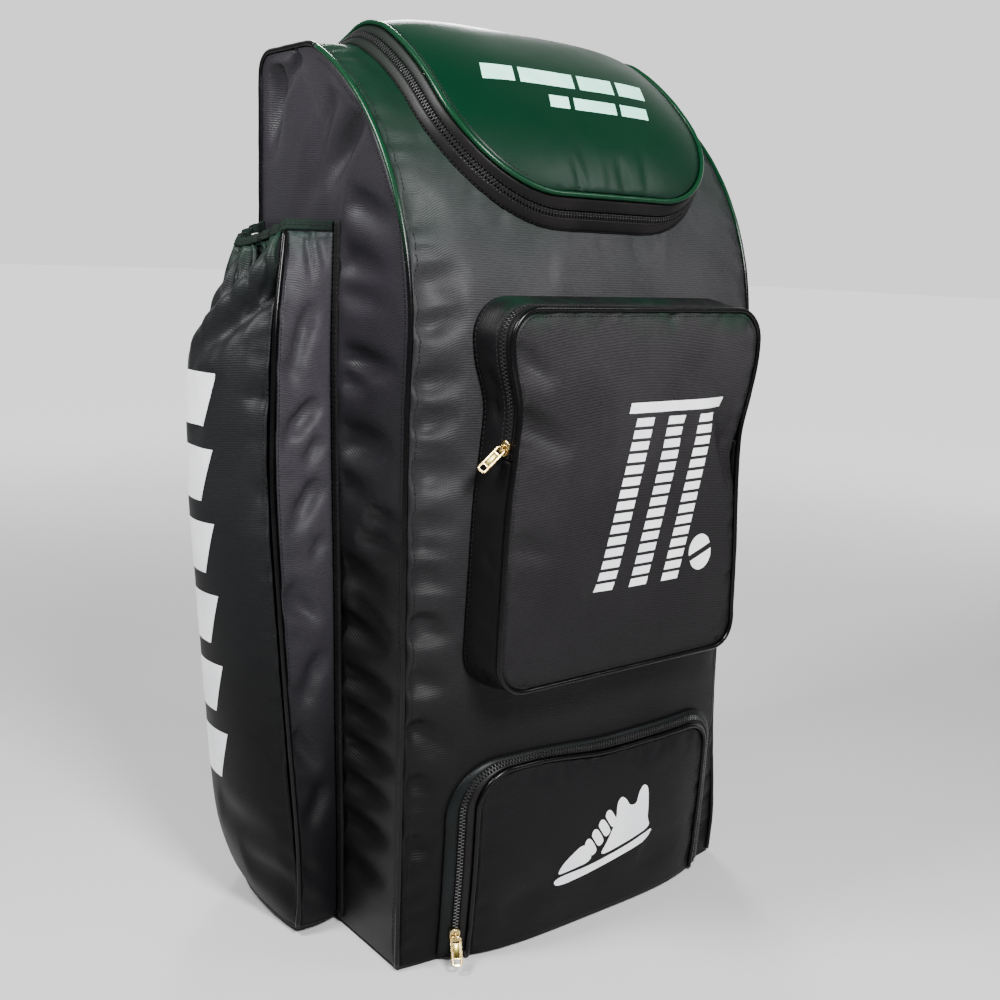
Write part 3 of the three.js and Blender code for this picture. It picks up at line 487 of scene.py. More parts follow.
def pointValues(piece, key):
    values = np.zeros(len(piece.data.vertices) * 3)
    piece.data.vertices.foreach_get(key, values)
    return values.reshape(-1, 3)


def movePoints(piece, points):
    piece.data.vertices.foreach_set("co", points.ravel())
    piece.data.update()


# cloth held at its pinned points, cut larger than its place by the given shares, and blown out a little
# no point moves further than the cap, and the folds, in mm at each point, are pressed in again by a share
def settle(piece, pinned, grow, pressure, cap, folds=None, again=1.0):
    start = pointValues(piece, "co")
    group = piece.vertex_groups.new(name="held")
    group.add([int(i) for i in np.nonzero(pinned)[0]], 1, "REPLACE")
    piece.shape_key_add(name="Basis")
    cut = piece.shape_key_add(name="cut")
    middle = start.mean(0)
    larger = (start - middle) * (1 + np.asarray(grow)) + middle
    cut.data.foreach_set("co", larger.ravel())
    cut.value = 0
    sim = piece.modifiers.new("Cloth", "CLOTH")
    s = sim.settings
    s.quality = clothStuff["quality"]
    s.mass = clothStuff["mass"]
    s.tension_stiffness = s.compression_stiffness = clothStuff["stiffness"]
    s.shear_stiffness = clothStuff["stiffness"] / 2
    s.bending_stiffness = clothStuff["bending"]
    s.air_damping = clothStuff["damping"]
    s.vertex_group_mass = "held"
    s.rest_shape_key = cut
    s.use_pressure = True
    s.uniform_pressure_force = pressure
    s.effector_weights.gravity = 0
    sim.collision_settings.use_collision = False
    sim.point_cache.frame_start = 1
    sim.point_cache.frame_end = clothStuff["frames"]
    scene = bpy.context.scene
    for f in range(1, clothStuff["frames"] + 1):
        scene.frame_set(f)
    end = pointValues(piece.evaluated_get(bpy.context.evaluated_depsgraph_get()), "co")
    piece.modifiers.remove(sim)
    piece.shape_key_clear()
    piece.vertex_groups.clear()
    scene.frame_set(1)
    moved = end - start
    far = np.linalg.norm(moved, axis=1)
    far[far == 0] = 1
    limit = cap * mm
    moved *= (limit * np.tanh(far / limit) / far)[:, None]
    movePoints(piece, start + moved)
    if folds is not None:
        depth = np.where(pinned, 0, folds.ravel()) * again * mm
        movePoints(piece, start + moved - pointValues(piece, "normal") * depth[:, None])


def borderOf(m, n):
    j, i = np.mgrid[0:m, 0:n]
    return ((j == 0) | (j == m - 1) | (i == 0) | (i == n - 1)).ravel()


# a round cord along points in mm
def tube(name, points, radius, ring=False, sides=10, wobble=0.0):
    points = np.asarray(points, float)
    count = len(points)
    verts, uvs, length = [], [], 0.0
    normal = np.array([0.3, -0.5, 0.81])
    for i, p in enumerate(points):
        a = points[(i - 1) % count] if ring else points[max(i - 1, 0)]
        b = points[(i + 1) % count] if ring else points[min(i + 1, count - 1)]
        along = unit(b - a)
        normal = unit(normal - along * (normal @ along))
        across = np.cross(along, normal)
        if i:
            length += np.linalg.norm(p - points[i - 1])
        r = radius * (1 + wobble * math.sin(length * 0.21) * math.sin(length * 0.057 + 1))
        for k in range(sides):
            angle = 2 * math.pi * k / sides
            verts.append(p + r * (normal * math.cos(angle) + across * math.sin(angle)))
            uvs.append((2 * math.pi * radius * k / sides, length))
    faces = []
    for i in range(count if ring else count - 1):
        following = (i + 1) % count
        for k in range(sides):
            other = (k + 1) % sides
            faces.append((i * sides + k, i * sides + other, following * sides + other, following * sides + k))
    if not ring:
        faces.append(tuple(reversed(range(sides))))
        faces.append(tuple((count - 1) * sides + k for k in range(sides)))
    return makeMesh(name, verts, faces, uvs)


# points at even steps along a path in mm, each with its way along
def walk(path, step, closed=False, start=0.5):
    path = np.asarray(path, float)
    if closed:
        path = np.vstack([path, path[:1]])
    lengths = np.linalg.norm(np.diff(path, axis=0), axis=1)
    total = np.concatenate([[0], lengths.cumsum()])
    count = max(1, int(total[-1] / step))
    at = (np.arange(count) + start) * total[-1] / count
    k = np.clip(np.searchsorted(total, at, side="right") - 1, 0, len(lengths) - 1)
    t = (at - total[k]) / np.maximum(lengths[k], 1e-9)
    spots = path[k] + (path[k + 1] - path[k]) * t[:, None]
    ways = (path[k + 1] - path[k]) / np.maximum(lengths[k], 1e-9)[:, None]
    return spots, ways


# one mesh of a shape copied to many places: X across, Y along, Z out
def copies(name, shape, spots, ways, outs):
    verts = np.array([v.co[:] for v in shape.vertices]) / mm
    polygons = [tuple(p.vertices) for p in shape.polygons]
    points, faces = [], []
    for spot, way, out in zip(spots, ways, outs):
        across = unit(np.cross(way, out))
        up = np.cross(across, way)
        base = len(points) * len(verts)
        points.append(spot + verts[:, :1] * across + verts[:, 1:2] * way + verts[:, 2:] * up)
        faces += [tuple(base + i for i in p) for p in polygons]
    return makeMesh(name, np.vstack(points), faces)


# how deep a table's folds are over a grid; a fold is fromX, fromUp, toX, toUp, width and depth in mm
def foldField(folds, x, up):
    depth = np.zeros_like(x)
    for fromX, fromUp, toX, toUp, width, deep in folds:
        dx, dy = toX - fromX, toUp - fromUp
        px, py = x - fromX, up - fromUp
        t = np.clip((px * dx + py * dy) / (dx * dx + dy * dy), 0, 1)
        away = np.hypot(px - dx * t, py - dy * t) / width
        depth += deep * np.sin(math.pi * t**0.6) * np.exp(-away * away)
    return depth


def normalsOf(rows):
    across = np.gradient(rows, axis=1)
    along = np.gradient(rows, axis=0)
    out = np.cross(across, along)
    return out / np.maximum(np.linalg.norm(out, axis=2, keepdims=True), 1e-9)


def sink(rows, depth):
    return rows - normalsOf(rows) * np.asarray(depth)[..., None]


# short puckers that a seam draws in along an edge, as a fold table
def seamPuckers(edge, inward, pitch, length, width, depth, seed):
    rng = random.Random(seed)
    folds = []
    spots, ways = walk([(p[0], p[1], 0) for p in edge], pitch)
    for spot, way in zip(spots, ways):
        side = np.array([-way[1], way[0]]) * inward
        reach = length * rng.uniform(0.4, 1.3)
        slant = rng.uniform(-0.3, 0.3) * reach
        start = spot[:2] + way[:2] * rng.uniform(-0.4, 0.4) * pitch - side * 1.5
        end = start + side * reach + way[:2] * slant
        folds.append((*start, *end, width * rng.uniform(0.7, 1.4), depth * rng.uniform(0.3, 1.3)))
    return folds


def inside(outline, x, up):
    within = np.zeros(x.shape, bool)
    count = len(outline)
    for i in range(count):
        (ax, ay), (bx, by) = outline[i], outline[(i + 1) % count]
        crosses = (ay > up) != (by > up)
        at = ax + (up - ay) * (bx - ax) / ((by - ay) if by != ay else 1e-9)
        within ^= crosses & (x < at)
    return within


# materials
def hexColour(code):
    parts = [int(code[i:i + 2], 16) / 255 for i in (1, 3, 5)]
    return (*[c / 12.92 if c <= 0.04045 else ((c + 0.055) / 1.055) ** 2.4 for c in parts], 1)


# a node with its settings; a setting that is another node's socket is linked to its input
def addNode(tree, kind, settings=None):
    made = tree.nodes.new("ShaderNode" + kind)
    for key, value in (settings or {}).items():
        if isinstance(value, bpy.types.NodeSocket):
            tree.links.new(value, made.inputs[key])
        elif isinstance(key, str) and hasattr(made, key):
            setattr(made, key, value)
        else:
            made.inputs[key].default_value = value
    return made.outputs


def startMaterial(name):
    material = bpy.data.materials.new(name)
    material.use_nodes = True
    material.node_tree.nodes.clear()
    return material, material.node_tree


# constants first, then what varies over the piece
def finishMaterial(tree, constants, varied):
    surface = addNode(tree, "BsdfPrincipled", constants)
    for key, socket in varied.items():
        tree.links.new(socket, surface[0].node.inputs[key])
    addNode(tree, "OutputMaterial", {"Surface": surface[0]})


times = {"operation": "MULTIPLY"}
timesPlus = {"operation": "MULTIPLY_ADD"}
ramp = {"interpolation_type": "SMOOTHSTEP"}
blend = {"data_type": "RGBA"}


# woven nylon: ribs across the cloth, softly uneven, over broad changes of tone, with painted shade darkening
# it towards the foot
def wovenNylon(name, look):
    material, tree = startMaterial(name)
    uv = addNode(tree, "UVMap", {"uv_map": "cloth"})[0]
    seat = addNode(tree, "TexCoord")["Object"]
    cloth = addNode(tree, "SeparateXYZ", {0: uv})
    spot = addNode(tree, "SeparateXYZ", {0: seat})
    turn = 2 * math.pi / mm
    drift = addNode(tree, "TexNoise", {"Scale": 60.0, "Detail": 3.0, "Vector": uv})[0]
    shifted = addNode(tree, "Math", {**timesPlus, 0: drift, 1: 0.0009, 2: cloth[1]})[0]
    ribs = addNode(tree, "Math", {**times, 0: shifted, 1: turn / look["rib"]})[0]
    rib = addNode(tree, "Math", {"operation": "SINE", 0: ribs})[0]
    yarns = addNode(tree, "Math", {**times, 0: cloth[0], 1: turn / look["yarn"]})[0]
    yarn = addNode(tree, "Math", {"operation": "SINE", 0: yarns})[0]
    stretched = addNode(tree, "Mapping", {"Scale": (0.25, 1.0, 1.0), "Vector": uv})[0]
    slub = addNode(tree, "TexNoise", {"Scale": 700.0, "Detail": 2.0, "Vector": stretched})[0]
    ribbed = addNode(tree, "Math", {**timesPlus, 0: rib, 1: 0.245, 2: slub})[0]
    height = addNode(tree, "Math", {**timesPlus, 0: yarn, 1: 0.105, 2: ribbed})[0]
    bump = addNode(tree, "Bump", {"Strength": look["bump"], "Distance": 0.0004, "Height": height})[0]
    broad = addNode(tree, "TexNoise", {"Scale": 9.0, "Detail": 4.0, "Roughness": 0.6, "Vector": seat})[0]
    tone = addNode(tree, "MapRange", {**ramp, 0: broad, 1: 0.35, 2: 0.68})[0]
    dark, light = hexColour(look["dark"]), hexColour(look["light"])
    colour = addNode(tree, "Mix", {**blend, 0: tone, 6: dark, 7: light})[2]
    fibre = addNode(tree, "MapRange", {**ramp, 0: height, 1: 0.1, 2: 1.1, 3: 0.0, 4: 0.45})[0]
    colour = addNode(tree, "Mix", {**blend, 0: fibre, 6: colour, 7: hexColour(look["thread"])})[2]
    # painted shade: the cloth is painted evenly darker towards the foot, standing in for the light that falls
    # off lower down
    low, high = look["paintedShade"]
    paintedShade = addNode(tree, "MapRange", {**ramp, 0: spot[2], 1: low, 2: high})[0]
    colour = addNode(tree, "Mix", {**blend, 0: paintedShade, 6: hexColour(look["foot"]), 7: colour})[2]
    if "green" in look:
        low, high = look["greenRange"]
        ragged = addNode(tree, "TexNoise", {"Scale": 16.0, "Detail": 3.0, "Vector": seat})[0]
        level = addNode(tree, "Math", {**timesPlus, 0: ragged, 1: look["ragged"], 2: spot[2]})[0]
        lean = look.get("greenLean", 0.0)
        level = addNode(tree, "Math", {**timesPlus, 0: spot[0], 1: lean, 2: level})[0]
        share = {1: low, 2: high, 3: 0.0, 4: look["greenShare"]}
        green = addNode(tree, "MapRange", {**ramp, 0: level, **share})[0]
        colour = addNode(tree, "Mix", {**blend, 0: green, 6: colour, 7: hexColour(look["green"])})[2]
    uneven = addNode(tree, "TexNoise", {"Scale": 28.0, "Detail": 3.0, "Vector": seat})[0]
    low, high = look["roughness"] - 0.07, look["roughness"] + 0.08
    rough = addNode(tree, "MapRange", {0: uneven, 3: low, 4: high})[0]
    constants = {"Roughness": look["roughness"], "Specular IOR Level": look["gloss"], "IOR": 1.5}
    finishMaterial(tree, constants, {"Base Color": colour, "Roughness": rough, "Normal": bump})
    return material


# smooth coated stuff: vinyl, rubber, tape
def smoothVinyl(name, look):
    material, tree = startMaterial(name)
    seat = addNode(tree, "TexCoord")["Object"]
    grain = addNode(tree, "TexNoise", {"Scale": look["grain"], "Detail": 3.0, "Vector": seat})[0]
    bump = addNode(tree, "Bump", {"Strength": look["bump"], "Distance": 0.0003, "Height": grain})[0]
    broad = addNode(tree, "TexNoise", {"Scale": 20.0, "Detail": 3.0, "Vector": seat})[0]
    tone = addNode(tree, "MapRange", {**ramp, 0: broad, 1: 0.35, 2: 0.65})[0]
    dark, light = hexColour(look["dark"]), hexColour(look["light"])
    colour = addNode(tree, "Mix", {**blend, 0: tone, 6: dark, 7: light})[2]
    if "green" in look:
        low, high = look["greenRange"]
        spot = addNode(tree, "SeparateXYZ", {0: seat})
        green = addNode(tree, "MapRange", {**ramp, 0: spot[2], 1: low, 2: high})[0]
        colour = addNode(tree, "Mix", {**blend, 0: green, 6: colour, 7: hexColour(look["green"])})[2]
    low, high = look["roughness"] - 0.06, look["roughness"] + 0.08
    rough = addNode(tree, "MapRange", {0: grain, 3: low, 4: high})[0]
    gloss = look.get("gloss", 0.5)
    constants = {"Roughness": look["roughness"], "Specular IOR Level": gloss, "IOR": 1.5}
    finishMaterial(tree, constants, {"Base Color": colour, "Roughness": rough, "Normal": bump})
    return material


# plated metal, worn unevenly
def goldPlate(name, dark, light):
    material, tree = startMaterial(name)
    seat = addNode(tree, "TexCoord")["Object"]
    wear = addNode(tree, "TexNoise", {"Scale": 350.0, "Detail": 4.0, "Vector": seat})[0]
    tone = addNode(tree, "MapRange", {**ramp, 0: wear, 1: 0.4, 2: 0.65})[0]
    colour = addNode(tree, "Mix", {**blend, 0: tone, 6: hexColour(light), 7: hexColour(dark)})[2]
    rough = addNode(tree, "MapRange", {0: wear, 3: 0.16, 4: 0.36})[0]
    bump = addNode(tree, "Bump", {"Strength": 0.12, "Distance": 0.0001, "Height": wear})[0]
    varied = {"Base Color": colour, "Roughness": rough, "Normal": bump}
    finishMaterial(tree, {"Metallic": 1.0, "Roughness": 0.25}, varied)
    return material


# the height range and foot colour in these looks are painted shade: each cloth is painted darker towards the
# bottom
nylon = {
    "roughness": 0.5, "rib": 2.1, "yarn": 1.3, "bump": 0.4, "gloss": 0.12,
    "paintedShade": (0.05, 0.62), "foot": "#080708",
}
# charcoal oxford nylon, polyurethane backed: a dull ribbed black with a soft shine on its folds
bodyNylon = wovenNylon("charcoalNylon", {
    **nylon, "dark": "#151316", "light": "#1c1a1e", "thread": "#312e35",
    # painted shade: the height range and foot colour here paint the cloth darker towards its foot
    "paintedShade": (0.27, 0.62), "foot": "#070707", "gloss": 0.24, "roughness": 0.46,
})
# the same cloth on the front, where green shows through at the shoulder
frontNylon = wovenNylon("frontNylon", {
    **nylon, "dark": "#1c1c1d", "light": "#262627", "thread": "#3e3c40",
    "green": "#031f13", "greenRange": (0.66, 0.87), "ragged": 0.12, "greenShare": 0.97, "greenLean": -0.12,
})
# a coarser rib on the two front pockets' faces, plain to see across them
pocketNylon = wovenNylon("pocketNylon", {
    **nylon, "rib": 2.5, "bump": 0.5, "dark": "#1a191a", "light": "#242324", "thread": "#3a373a",
    # painted shade: the height range and foot colour here paint the pocket faces darker towards their foot
    "paintedShade": (0.08, 0.66), "foot": "#0c0a0c",
    "green": "#042517", "greenRange": (0.61, 0.665), "ragged": 0.1, "greenShare": 0.85,
})
# the front pocket's deep sides: the pocket's cloth painted darker than its face, as painted shade
shadedPocketSideNylon = wovenNylon("shadedPocketSideNylon", {
    **nylon, "gloss": 0.1, "dark": "#070607", "light": "#0c0b0c", "thread": "#161417",
    "green": "#04271a", "greenRange": (0.62, 0.66), "ragged": 0.08, "greenShare": 0.9,
})
# the bat pocket's full cloth, near black, with painted shade darkening it towards its foot, and green at its
# mouth
sideNylon = wovenNylon("sidePocketNylon", {
    **nylon, "gloss": 0.15, "dark": "#0e0f10", "light": "#141516", "thread": "#242628",
    "paintedShade": (0.11, 0.5), "foot": "#030304",
    "green": "#0a2f1f", "greenRange": (0.63, 0.72), "ragged": 0.1, "greenShare": 0.7,
})
# the pocket's narrow front wall, a paler side of the same cloth
gussetNylon = wovenNylon("gussetNylon", {
    **nylon, "dark": "#242326", "light": "#2d2b2f", "thread": "#48454b",
    # painted shade: the height range and foot colour here paint the wall darker towards its foot
    "paintedShade": (0.06, 0.46), "foot": "#0e0d0f",
    "green": "#0c2c20", "greenRange": (0.64, 0.7), "ragged": 0.06, "greenShare": 0.8,
})
# the lid's green coated nylon, dark towards its lower edge
lidNylon = wovenNylon("lidNylon", {
    **nylon, "roughness": 0.36, "gloss": 0.1, "bump": 0.1,
    "dark": "#101a16", "light": "#15211c", "thread": "#1b2c25",
    "green": "#002012", "greenRange": (0.68, 0.77), "ragged": 0.06, "greenShare": 1.0,
})
# coated tape along the zips, smoother and darker than the cloth beside it
bandVinyl = smoothVinyl("bandVinyl", {
    "roughness": 0.45, "grain": 900.0, "bump": 0.12, "dark": "#0e0d0d", "light": "#161414", "gloss": 0.13,
    "green": "#0d130f", "greenRange": (0.72, 0.8),
})
# the shoe pocket's tapes: a warm black inside its zip and a cold one outside
shoeInnerVinyl = smoothVinyl("shoeInnerVinyl", {
    "roughness": 0.42, "grain": 900.0, "bump": 0.12, "dark": "#0f0d0e", "light": "#151314", "gloss": 0.15,
})
shoeBandVinyl = smoothVinyl("shoeBandVinyl", {
    "roughness": 0.42, "grain": 900.0, "bump": 0.12, "dark": "#080b0b", "light": "#0d1111", "gloss": 0.15,
})
# woven zip tape, quite dull
zipTape = smoothVinyl("zipTape", {
    "roughness": 0.8, "grain": 2600.0, "bump": 0.3, "dark": "#080809", "light": "#0e0e0f", "gloss": 0.15,
})
# nylon coil, whose teeth each catch a point of light
coilNylon = smoothVinyl("coilNylon", {
    "roughness": 0.42, "grain": 1500.0, "bump": 0.05, "dark": "#0b0b0b", "light": "#121213", "gloss": 0.3,
})
# piping of extruded vinyl: a thin bright line along a black cord
pipingVinyl = smoothVinyl("pipingVinyl", {
    "roughness": 0.24, "grain": 500.0, "bump": 0.08, "dark": "#040405", "light": "#080809", "gloss": 0.17,
})
greenPiping = smoothVinyl("greenPiping", {
    "roughness": 0.24, "grain": 500.0, "bump": 0.08, "dark": "#040405", "light": "#080809", "gloss": 0.2,
    "green": "#052b18", "greenRange": (0.60, 0.7),
})
# sewing thread, just seen against the cloth
threadNylon = smoothVinyl("threadNylon", {
    "roughness": 0.6, "grain": 3000.0, "bump": 0.1, "dark": "#070708", "light": "#100f11", "gloss": 0.2,
})
# ribbed elastic, dull and dark green
elasticTape = smoothVinyl("elasticTape", {
    "roughness": 0.8, "grain": 1800.0, "bump": 0.5, "dark": "#040c08", "light": "#081610", "gloss": 0.15,
})
# spacer mesh and webbing, dull and grainy
strapMesh = smoothVinyl("strapMesh", {
    "roughness": 0.8, "grain": 1400.0, "bump": 0.6, "dark": "#111113", "light": "#1c1c1f",
})
# gold plated zinc, with duller worn spots, and olive enamel in its windows
goldMetal = goldPlate("goldMetal", "#a8894a", "#d9c48d")
oliveEnamel = goldPlate("oliveEnamel", "#5c552c", "#8a7c42")
# screen printed ink, white on the pockets and mint on the lid
whiteInk = smoothVinyl("whiteInk", {
    "roughness": 0.45, "grain": 1100.0, "bump": 0.2, "dark": "#e4e6ea", "light": "#f4f5f7",
})
mintInk = smoothVinyl("mintInk", {
    "roughness": 0.4, "grain": 1100.0, "bump": 0.15, "dark": "#9fe6cf", "light": "#b9f3e0",
})
print("materials made")


# the body
# a table's fold is fromX, fromUp, toX, toUp, width, depth; fronts use x and the run, sides y and z
frontFolds = [
    (-196, 600, -150, 612, 12, 4.5), (-196, 565, -152, 582, 11, 5.5), (-196, 520, -154, 530, 11, 5),
    (-196, 488, -158, 496, 9, 4), (-196, 447, -150, 452, 13, 5.5), (-196, 400, -158, 410, 11, 4),
    (-196, 362, -160, 356, 10, 3), (-196, 320, -156, 306, 12, 4.5), (-196, 272, -158, 262, 12, 4),
    (-196, 227, -150, 200, 15, 4.5), (-196, 176, -166, 160, 13, 4), (-196, 120, -168, 112, 13, 3),
    (-196, 660, -160, 664, 14, 3), (192, 560, 160, 540, 13, 3.5), (192, 500, 165, 505, 12, 3.5),
    (-100, 232, 60, 216, 20, 2.5), (80, 640, 180, 600, 22, 2.5), (-60, 610, -150, 640, 22, 2.5),
]
leftFolds = [
    (95, 788, 108, 700, 15, 7), (56, 794, 86, 758, 8, 4.5), (-38, 738, 12, 652, 12, 4),
    (-8, 758, 44, 664, 12, 3.5), (-62, 742, 62, 652, 13, 3), (-30, 668, -120, 640, 14, 4.5),
    (-20, 618, -112, 606, 16, 5.5), (-20, 590, -116, 578, 12, 4), (-24, 536, -124, 528, 10, 6.5),
    (-20, 515, -74, 512, 9, 4), (-20, 461, -124, 466, 17, 7.5), (-20, 425, -84, 418, 11, 4),
    (-70, 402, -127, 409, 8, 4.5), (-56, 380, -127, 385, 9, 4), (-20, 345, -127, 341, 17, 6),
    (-40, 319, -127, 304, 8, 4), (-20, 297, -127, 289, 12, 6), (-24, 246, -127, 251, 12, 6),
    (-26, 214, -127, 221, 10, 5), (-28, 181, -127, 187, 11, 6), (-28, 148, -127, 151, 10, 5),
    (-30, 108, -128, 115, 11, 5), (-30, 68, -128, 74, 11, 4),
]
rightFolds = [
    (104, 560, -117, 520, 18, 5), (104, 380, -117, 400, 18, 5), (109, 192, -117, 224, 20, 6),
]

lidRows = outlineRows(14, 50, 0)
lidShares = spread(56, -1, 1)
shoeRows = outlineRows(0, 34, 12)
shoeShares = spread(70, -1, 1)


# outlines on the front in x and run
lidOutline = [
    outlinePoint({
        "left": lid["width"] / 2, "right": lid["width"] / 2, "foot": lidRear - lid["length"],
        "head": lidRear, "footCorner": lid["corner"], "headCorner": 0,
    }, row, share)
    for row, share in downRight(lidRows) + acrossFoot(lidRows, lidShares) + upLeft(lidRows)
]
frontPocketGrid = outlineRows(8, 24, 8)
frontPocketOutline = [
    (p[0], p[2])
    for p in (
        frontPocketPlace(row, share, 0)
        for row, share in upLeft(frontPocketGrid) + downRight(frontPocketGrid)
    )
]
shoeOutline = [
    (p[0], p[2])
    for p in (shoePlace(row, share, 0) for row, share in upLeft(shoeRows) + downRight(shoeRows))
]


def shrunk(outline, by):
    points = np.asarray(outline, float)
    middle = points.mean(0)
    away = points - middle
    far = np.linalg.norm(away, axis=1, keepdims=True)
    return [tuple(p) for p in middle + away * (far - by) / far]


def makeFrontPanel():
    columns, rows = 84, 190
    xs = np.array(spread(columns, -1, 1))
    runs = spread(rows, 0, runLength - 2 * seamGap)
    points, xGrid, uGrid = [], [], []
    for run in runs:
        low = max(run, panelFoot)
        left = edgePoint(-1, low)[0] + pipingInset
        right = edgePoint(1, low)[0] - pipingInset
        line = [mix(left, right, (s + 1) / 2) for s in xs]
        points.append([frontPoint(x, low) for x in line])
        xGrid.append(line)
        uGrid.append([low] * len(line))
    points, xGrid, uGrid = np.array(points), np.array(xGrid), np.array(uGrid)
    leftEdge = [(-197, run) for run in spread(60, 10, shoulderEnd)]
    rightEdge = [(197, run) for run in spread(60, 10, shoulderEnd)]
    folds = frontFolds + seamPuckers(leftEdge, -1, 15, 34, 5, 1.5, 3)
    folds += seamPuckers(rightEdge, 1, 17, 26, 5, 1.2, 5)
    rim = [tuple(p) for p in shrunk(lidOutline, -2)]
    folds += seamPuckers(rim, 1, 16, 22, 5, 1.0, 8)
    depth = foldField(folds, xGrid, uGrid)
    held = inside(shrunk(lidOutline, 2), xGrid, uGrid)
    held |= inside(shrunk(frontPocketOutline, 2), xGrid, uGrid) | inside(shrunk(shoeOutline, 2), xGrid, uGrid)
    depth[held] *= 0.1
    piece = gridPiece("frontPanel", sink(points, depth))
    pinned = borderOf(*xGrid.shape) | held.ravel()
    settle(piece, pinned, (0.012, 0.025, 0.035), pressure=1.4, cap=6, folds=depth, again=1.1)
    # open under the lid, as the bag is
    hidden = inside(shrunk(lidOutline, 14), xGrid, uGrid).ravel()
    mesh = bmesh.new()
    mesh.from_mesh(piece.data)
    mesh.verts.ensure_lookup_table()
    gone = [mesh.verts[i] for i in np.nonzero(hidden)[0]]
    bmesh.ops.delete(mesh, geom=gone, context="VERTS")
    mesh.to_mesh(piece.data)
    mesh.free()
    thicken(piece, clothThickness)
    place(piece, frontNylon, "front_panel", slot="black_nylon")
    return piece


def sideRear(z):
    rise = max(0, z - (body["height"] - body["backCorner"]))
    radius = body["backCorner"] - pipingInset
    return topBack + math.sqrt(max(0, radius * radius - rise * rise))


def makeSidePanel(name, side, folds, pitch, material, replaced, grow, seed):
    columns, rows = 52, 164
    points, yGrid, zGrid = [], [], []
    runs = [clamp(r, panelFoot, crestEnd) for r in spread(rows, 0, crestEnd)]
    for run in runs:
        front = edgePoint(side, run, pipingInset)
        line = []
        for share in spread(columns):
            y = mix(front[1], sideRear(front[2]), share)
            pull = mix(1, 0, smooth(4 * share))
            line.append([mix(side * halfWidth, front[0], pull), y, front[2]])
        points.append(line if side > 0 else line[::-1])
    points = np.array(points)
    yGrid, zGrid = points[..., 1], points[..., 2]
    runs = spread(50, 8, shoulderEnd)
    edge = [(edgePoint(side, run, pipingInset)[1], edgePoint(side, run)[2]) for run in runs]
    folds = folds + seamPuckers(edge, 1, pitch, 30, 5, 1.4, seed)
    depth = foldField(folds, yGrid, zGrid)
    piece = gridPiece(name, sink(points, depth))
    pinned = borderOf(*yGrid.shape)
    if side < 0:
        pocketSeams = np.abs(yGrid - np.vectorize(
            lambda z: seamY(clamp((z - 9) / sidePocketHeight, 0, 1)))(zGrid)) < 4
        pinned |= (pocketSeams & (zGrid < 645)).ravel()
    settle(piece, pinned, grow, pressure=1.4, cap=7, folds=depth, again=1.25)
    thicken(piece, clothThickness)
    place(piece, material, replaced, slot="black_nylon")
    return piece


def makeBackPanel():
    columns, rows = 60, 130
    reach = halfWidth - pipingInset
    straight = body["height"] - body["backCorner"] - panelFoot
    arc = body["backCorner"] * (math.pi / 2 - 2 * seamGap / body["backCorner"])
    points = []
    for d in spread(rows, 0, straight + arc):
        if d <= straight:
            y, z = backY, panelFoot + d
        else:
            a = (d - straight) / body["backCorner"]
            y = topBack + body["backCorner"] * math.cos(a)
            z = body["height"] - body["backCorner"] * (1 - math.sin(a))
        points.append([[x, y, z] for x in spread(columns, reach, -reach)])
    points = np.array(points)
    xGrid, zGrid = points[..., 0], points[..., 2]
    folds = seamPuckers([(-reach, z) for z in spread(40, 10, 780)], -1, 22, 30, 6, 1.2, 21)
    folds += seamPuckers([(reach, z) for z in spread(40, 10, 780)], 1, 22, 30, 6, 1.2, 22)
    piece = gridPiece("backPanel", sink(points, foldField(folds, xGrid, zGrid)))
    settle(piece, borderOf(*xGrid.shape), (0.006, 0, 0.01), pressure=-0.3, cap=3)
    thicken(piece, clothThickness)
    place(piece, bodyNylon, "back_panel", slot="black_nylon")


def makeBase():
    outline = [frontPoint(x, 0)[:2] for x in spread(40, -halfWidth, halfWidth)]
    outline += [np.array([halfWidth, backY]), np.array([-halfWidth, backY])]
    points = [(p[0], p[1], 0) for p in outline]
    slab("basePanel", points, body["base"], 0.8, "base_panel", "black_nylon")


def pipingPiece(name, points, material, replaced, wobble=0.04, ring=False):
    cord = tube(name, points, pipingRadius, ring, wobble=wobble)
    place(cord, material, replaced, slot="piping_vinyl")


def makeEdges():
    for name, side in (("left", -1), ("right", 1)):
        points = [edgePoint(side, r) for r in spread(170, panelFoot, shoulderEnd)]
        pipingPiece(f"edgePiping_{name}", points, greenPiping, f"edge_piping_{name}", 0.05)
        x = side * halfWidth
        points = [edgePoint(side, r) for r in spread(24, shoulderEnd + 3 * seamGap, runLength)]
        for a in spread(10, math.pi / 2, 0)[1:]:
            y = topBack + body["backCorner"] * math.cos(a)
            points.append(np.array([x, y, body["height"] - body["backCorner"] * (1 - math.sin(a))]))
        top = points[-1][2]
        points += [np.array([x, backY, z]) for z in spread(120, top, panelFoot)[1:]]
        pipingPiece(f"rearBinding_{name}", points, pipingVinyl, f"rear_binding_{name}", 0.06)


frontPanel = makeFrontPanel()
leftPanel = makeSidePanel(
    "leftPanel", -1, leftFolds, 14, bodyNylon, "side_panel_left", (0, 0.018, 0.045), 11)
rightPanel = makeSidePanel(
    "rightPanel", 1, rightFolds, 18, bodyNylon, "side_panel_right", (0, 0.012, 0.02), 12)
makeBackPanel()
makeBase()
makeEdges()
print("body made")


# strips round the pockets' walls
def wallRows(placeOn, way, high, low, steps=3, bow=0.0):
    def at(edge, p):
        level, past = edge(p) if callable(edge) else edge
        wall = np.linalg.norm(placeOn(*p, 0) - placeOn(*p, 1))
        return placeOn(*p, level + past / wall)

    tops = np.array([at(high, p) for p in way])
    lows = np.array([at(low, p) for p in way])
    rows = np.array([tops + (lows - tops) * t for t in spread(steps)])
    swell = [[bow * math.sin(math.pi * t)] * len(way) for t in spread(steps)]
    return sink(rows, -np.array(swell))


